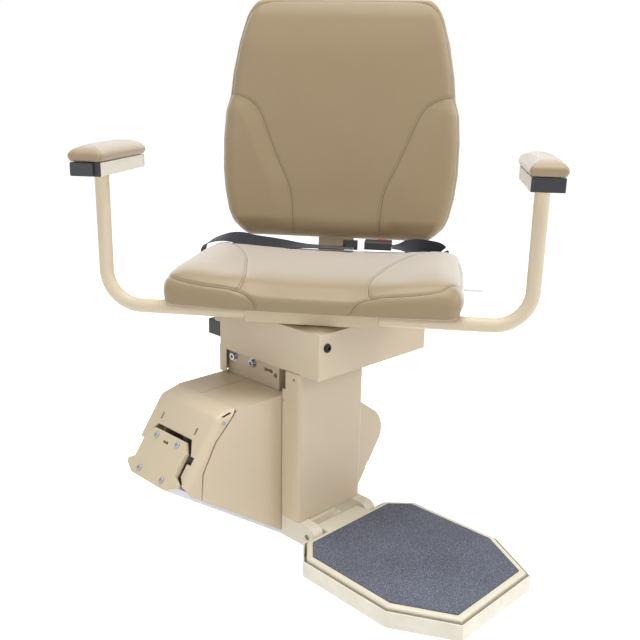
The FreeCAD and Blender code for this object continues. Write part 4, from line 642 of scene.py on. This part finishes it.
# the side panels stand proud, the middle is dished and the head rolls back
seam_up, seam_side = np.array(panel_edge, float).T
outside = smooth(beside - np.interp(height, seam_up, seam_side), 0.0, 46.0) \
    * (1 - smooth(height, 250.0, 300.0))
points[:, 1] -= front * panel_swell * outside * smooth(height, back_low, 40.0)
points[:, 1] += front * middle_dip * np.exp(-(beside / 120.0) ** 2) \
    * smooth(height, 10.0, 90.0) * (1 - smooth(height, 240.0, 420.0))
points[:, 1] += front * head_draw * smooth(height, 360.0, back_tall) ** 1.5
backrest = settle("backrest", block, points, back_place)

half_rim = [(half - border_inset, 12, up) for up, half in back_outline[1:-2]]
half_rim += [(196, 13, 438), (178, 14, 462), (146, 14, 474), (90, 14, 477), (0, 14, 478)]
rim = half_rim + [(-x, y, z) for x, y, z in half_rim[-2::-1]]
panel_lines = [[(side * x, -4, z) for z, x in panel_line] for side in (-1, 1)]
lines = [on_surface(backrest, flow(line, seam_step), back_place) for line in panel_lines]
lines.append(on_surface(backrest, flow(rim, rim_step), back_place))
sew(backrest, lines, back_seam_depth, back_seam_width)
backrest.data.materials.append(
    upholstery("back_skin", cover_tan, seams=3, roughness=0.42, twin=4.6))
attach(backrest, "seat")
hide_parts("back_cushion")


# Lap belt: woven webbing held under the seat board. It comes up round one side of
# the cushion and behind the other, and lies buckled along the cushion's rear edge:
# a steel tongue with a black grip in a black buckle with a red button.
def webbing():
    """Dark woven cloth: ribs along the belt and a fine beat across it."""
    material, tree, shader = new_material("webbing", Roughness=0.72, Sheen_Weight=0.35,
                                          Sheen_Roughness=0.4, Specular_IOR_Level=0.3)
    uv = add_node(tree, "ShaderNodeUVMap", uv_map="belt").outputs["UV"]
    parts = add_node(tree, "ShaderNodeSeparateXYZ", Vector=uv)
    waves = [worked(tree, "SINE", worked(tree, "MULTIPLY", parts.outputs[way], pitch))
             for way, pitch in (("X", 2600.0), ("Y", 3600.0))]
    level = spread(tree, worked(tree, "ADD", *waves), 0.15, 0.85, -2.0, 2.0)
    dress(tree, shader,
          Base_Color=blend(tree, level, linear(20, 20, 25), linear(46, 47, 56)),
          Normal=bump(tree, level, 0.0003, 0.6))
    return material


def ribbon(name, stops, width, thickness, rounding=0.45, rows=12):
    """A flat strap through the stops. Each stop is a point of its middle and the
    direction of its width, in millimetres in the seat's frame."""
    middle = flow([stop[0] for stop in stops], 3.0)
    across = flow([stop[1] for stop in stops], 3.0)
    counts = np.linspace(0, 1, len(middle))
    across = np.array([np.interp(counts, np.linspace(0, 1, len(across)), across[:, k])
                       for k in range(3)]).T
    tangent = np.gradient(middle, axis=0)
    tangent /= np.linalg.norm(tangent, axis=1)[:, None]
    across -= np.einsum("ij,ij->i", across, tangent)[:, None] * tangent
    across /= np.linalg.norm(across, axis=1)[:, None]
    run = np.concatenate([[0], np.cumsum(np.linalg.norm(np.diff(middle, axis=0), axis=1))])
    strap = bmesh.new()
    bmesh.ops.create_grid(strap, x_segments=len(middle) - 1, y_segments=rows, size=0.5)
    layer = strap.loops.layers.uv.new("belt")
    places = {}
    for vert in strap.verts:
        index = int(round((vert.co.x + 0.5) * (len(middle) - 1)))
        share = vert.co.y
        places[vert.index] = (run[index] * MM, share * width * MM)
        vert.co = Vector(middle[index] + across[index] * share * width) * MM
    for face in strap.faces:
        for loop in face.loops:
            loop[layer].uv = places[loop.vert.index]
    piece = piece_of(name, strap, seat_place)
    cloth = piece.modifiers.new("cloth", "SOLIDIFY")
    cloth.thickness = thickness * MM
    cloth.offset = 0.0
    edge = piece.modifiers.new("edge", "BEVEL")
    edge.width = rounding * MM
    edge.segments = 2
    edge.limit_method = "ANGLE"
    return piece


woven = webbing()
strap_width, strap_thick = 38.0, 1.5
left_stops = [((-140, 118, 426.4), (0, 1, 0)), ((-205, 118, 426.4), (0, 1, 0)),
              ((-262, 118, 426.6), (0, 1, 0)), ((-272.5, 118, 433), (0, 1, 0)),
              ((-275.5, 119, 450), (0, 1, 0)), ((-274, 121, 474), (0, 1, 0)),
              ((-263, 124, 485), (0.1, 1, 0.1)), ((-247, 126, 492), (0.2, 0.94, 0.3)),
              ((-224, 127, 497), (0.2, 0.84, 0.5)), ((-198, 128, 496), (0.1, 0.8, 0.55)),
              ((-170, 129, 490), (0, 0.84, 0.5)), ((-135, 129.5, 486.5), (0, 0.96, 0.28)),
              ((-90, 129, 485.5), (0, 1, 0.05)), ((-40, 129, 484.8), (0, 1, 0)),
              ((5, 129, 484.6), (0, 1, 0)), ((36, 129, 485.5), (0, 1, 0))]
right_stops = [((122, 129, 491), (0, 1, 0)), ((134, 130, 491), (0, 0.98, 0.15)),
               ((148, 134, 490.5), (0, 0.8, 0.6)), ((162, 141, 489), (0, 0.45, 0.9)),
               ((176, 149, 487), (0, 0.12, 1)), ((196, 153.2, 484.5), (0, 0, 1)),
               ((216, 153.4, 480.5), (-0.5, 0, 0.86)), ((222, 153.2, 470), (-0.95, 0, 0.3)),
               ((222, 153.0, 455), (-1, 0, 0)), ((222, 152.6, 436), (-1, 0, 0)),
               ((221, 148, 426.8), (-1, 0, 0)), ((220, 128, 426.4), (-1, 0, 0)),
               ((220, 96, 426.4), (-1, 0, 0))]
for name, stops in (("left_belt", left_stops), ("right_belt", right_stops)):
    strap = ribbon(name, stops, strap_width, strap_thick)
    strap.data.materials.append(woven)
    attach(strap, "seat_pad")
    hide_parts(name + "_strap")

# the tongue is one node: bare steel in front, its black grip from here rearward
grip_starts = Vector((0.0, 0.1305, 0.0))
rearward = Vector((-math.sin(seat_turn), math.cos(seat_turn), 0.0))
tongue_skin, tree, shader = new_material("tongue_skin")
reach = add_node(tree, "ShaderNodeVectorMath", operation="DOT_PRODUCT")
feed(tree, reach.inputs[0], object_point(tree))
feed(tree, reach.inputs[1], rearward)
gripped = worked(tree, "GREATER_THAN", reach.outputs["Value"],
                 (seat_place @ grip_starts).dot(rearward))
scratch = noise(tree, object_point(tree, (1, 0.1, 1)), Scale=800.0, Detail=3.0)
dress(tree, shader,
      Base_Color=blend(tree, gripped, linear(204, 205, 208), linear(44, 44, 47)),
      Metallic=spread(tree, gripped, 1.0, 0.0),
      Roughness=spread(tree, scratch, 0.24, 0.42))
finish(tongue_skin, "belt_tongue")
finish(black_plastic, "belt_buckle")
finish(moulded("red_button", linear(196, 38, 32), 0.32), "buckle_button")


# Studio: a wide pale floor just under the rail, a white surround, and broad soft
# lamps overhead, in front and at the left.
def in_view(tree):
    """1 for what the camera sees, also in shiny metal or through glass, else 0."""
    ray = add_node(tree, "ShaderNodeLightPath")
    met = worked(tree, "MAXIMUM", ray.outputs["Is Camera Ray"], ray.outputs["Is Glossy Ray"])
    return worked(tree, "MAXIMUM", met, ray.outputs["Is Transmission Ray"])


white = (1.0, 1.0, 1.0, 1.0)
floor_gap = 0.002
floor_half = 14.0
low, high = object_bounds()
sheet = bmesh.new()
bmesh.ops.create_grid(sheet, x_segments=1, y_segments=1, size=floor_half)
floor_mesh = bpy.data.meshes.new("studio_floor")
sheet.to_mesh(floor_mesh)
sheet.free()
floor = stand("studio_floor", floor_mesh)
floor.location = (0.0, 0.0, low[2] - floor_gap)
pale, tree, shader = new_material("pale_floor", Roughness=0.9, Specular_IOR_Level=0.0)
cloud = noise(tree, object_point(tree), Scale=2.0)
dress(tree, shader,
      Base_Color=blend(tree, cloud, linear(250, 250, 250), linear(255, 255, 255)),
      Emission_Color=white,
      Emission_Strength=spread(tree, in_view(tree), 0.15, 0.66))
floor_mesh.materials.append(pale)

world = bpy.data.worlds.new("studio")
bpy.context.scene.world = world
world.use_nodes = True
sky = world.node_tree
sky.nodes.clear()
lighting = add_node(sky, "ShaderNodeBackground", Color=white, Strength=0.4)
backdrop = add_node(sky, "ShaderNodeBackground", Color=white, Strength=1.0)
choice = add_node(sky, "ShaderNodeMixShader", Fac=in_view(sky))
feed(sky, choice.inputs[1], lighting.outputs["Background"])
feed(sky, choice.inputs[2], backdrop.outputs["Background"])
add_node(sky, "ShaderNodeOutputWorld", Surface=choice.outputs["Shader"])

# each lamp: its place and its side in metres, and its power in watts
lamps = (("overhead_softbox", (0.1, -0.3, 3.2), 2.4, 78.0),
         ("right_key", (1.7, -2.7, 1.9), 1.6, 32.0),
         ("left_fill", (-3.0, -1.0, 1.6), 2.2, 11.0))
lamps_aim = Vector((0.15, -0.15, 0.5))
for name, place, size, power in lamps:
    lamp = bpy.data.lights.new(name, "AREA")
    lamp.shape = "SQUARE"
    lamp.size = size
    lamp.energy = power
    light = stand(name, lamp)
    light.location = place
    light.rotation_euler = (lamps_aim - Vector(place)).to_track_quat("-Z", "Y").to_euler()


# Camera: it stands in front of the carriage and to its left, above the seat, and
# looks down a little, tilted to the side by about a degree.
camera_place = (-0.9076, -1.1232, 0.8004)
focal_length, film_width = 45.92, 36.0
yaw, pitch, roll = math.radians(-45.41), math.radians(-15.8), math.radians(1.11)
ahead = Vector((-math.sin(yaw) * math.cos(pitch), math.cos(yaw) * math.cos(pitch),
                math.sin(pitch)))
level = Vector((math.cos(yaw), math.sin(yaw), 0.0))
upright = level.cross(ahead)
right = level * math.cos(roll) + upright * math.sin(roll)
above = -level * math.sin(roll) + upright * math.cos(roll)
lens = bpy.data.cameras.new("camera")
lens.lens = focal_length
lens.sensor_width = film_width
camera = stand("camera", lens)
turn = Matrix((right, above, -ahead)).transposed().to_4x4()
camera.matrix_world = Matrix.Translation(camera_place) @ turn
bpy.context.scene.camera = camera
bpy.context.scene.view_settings.view_transform = "Standard"
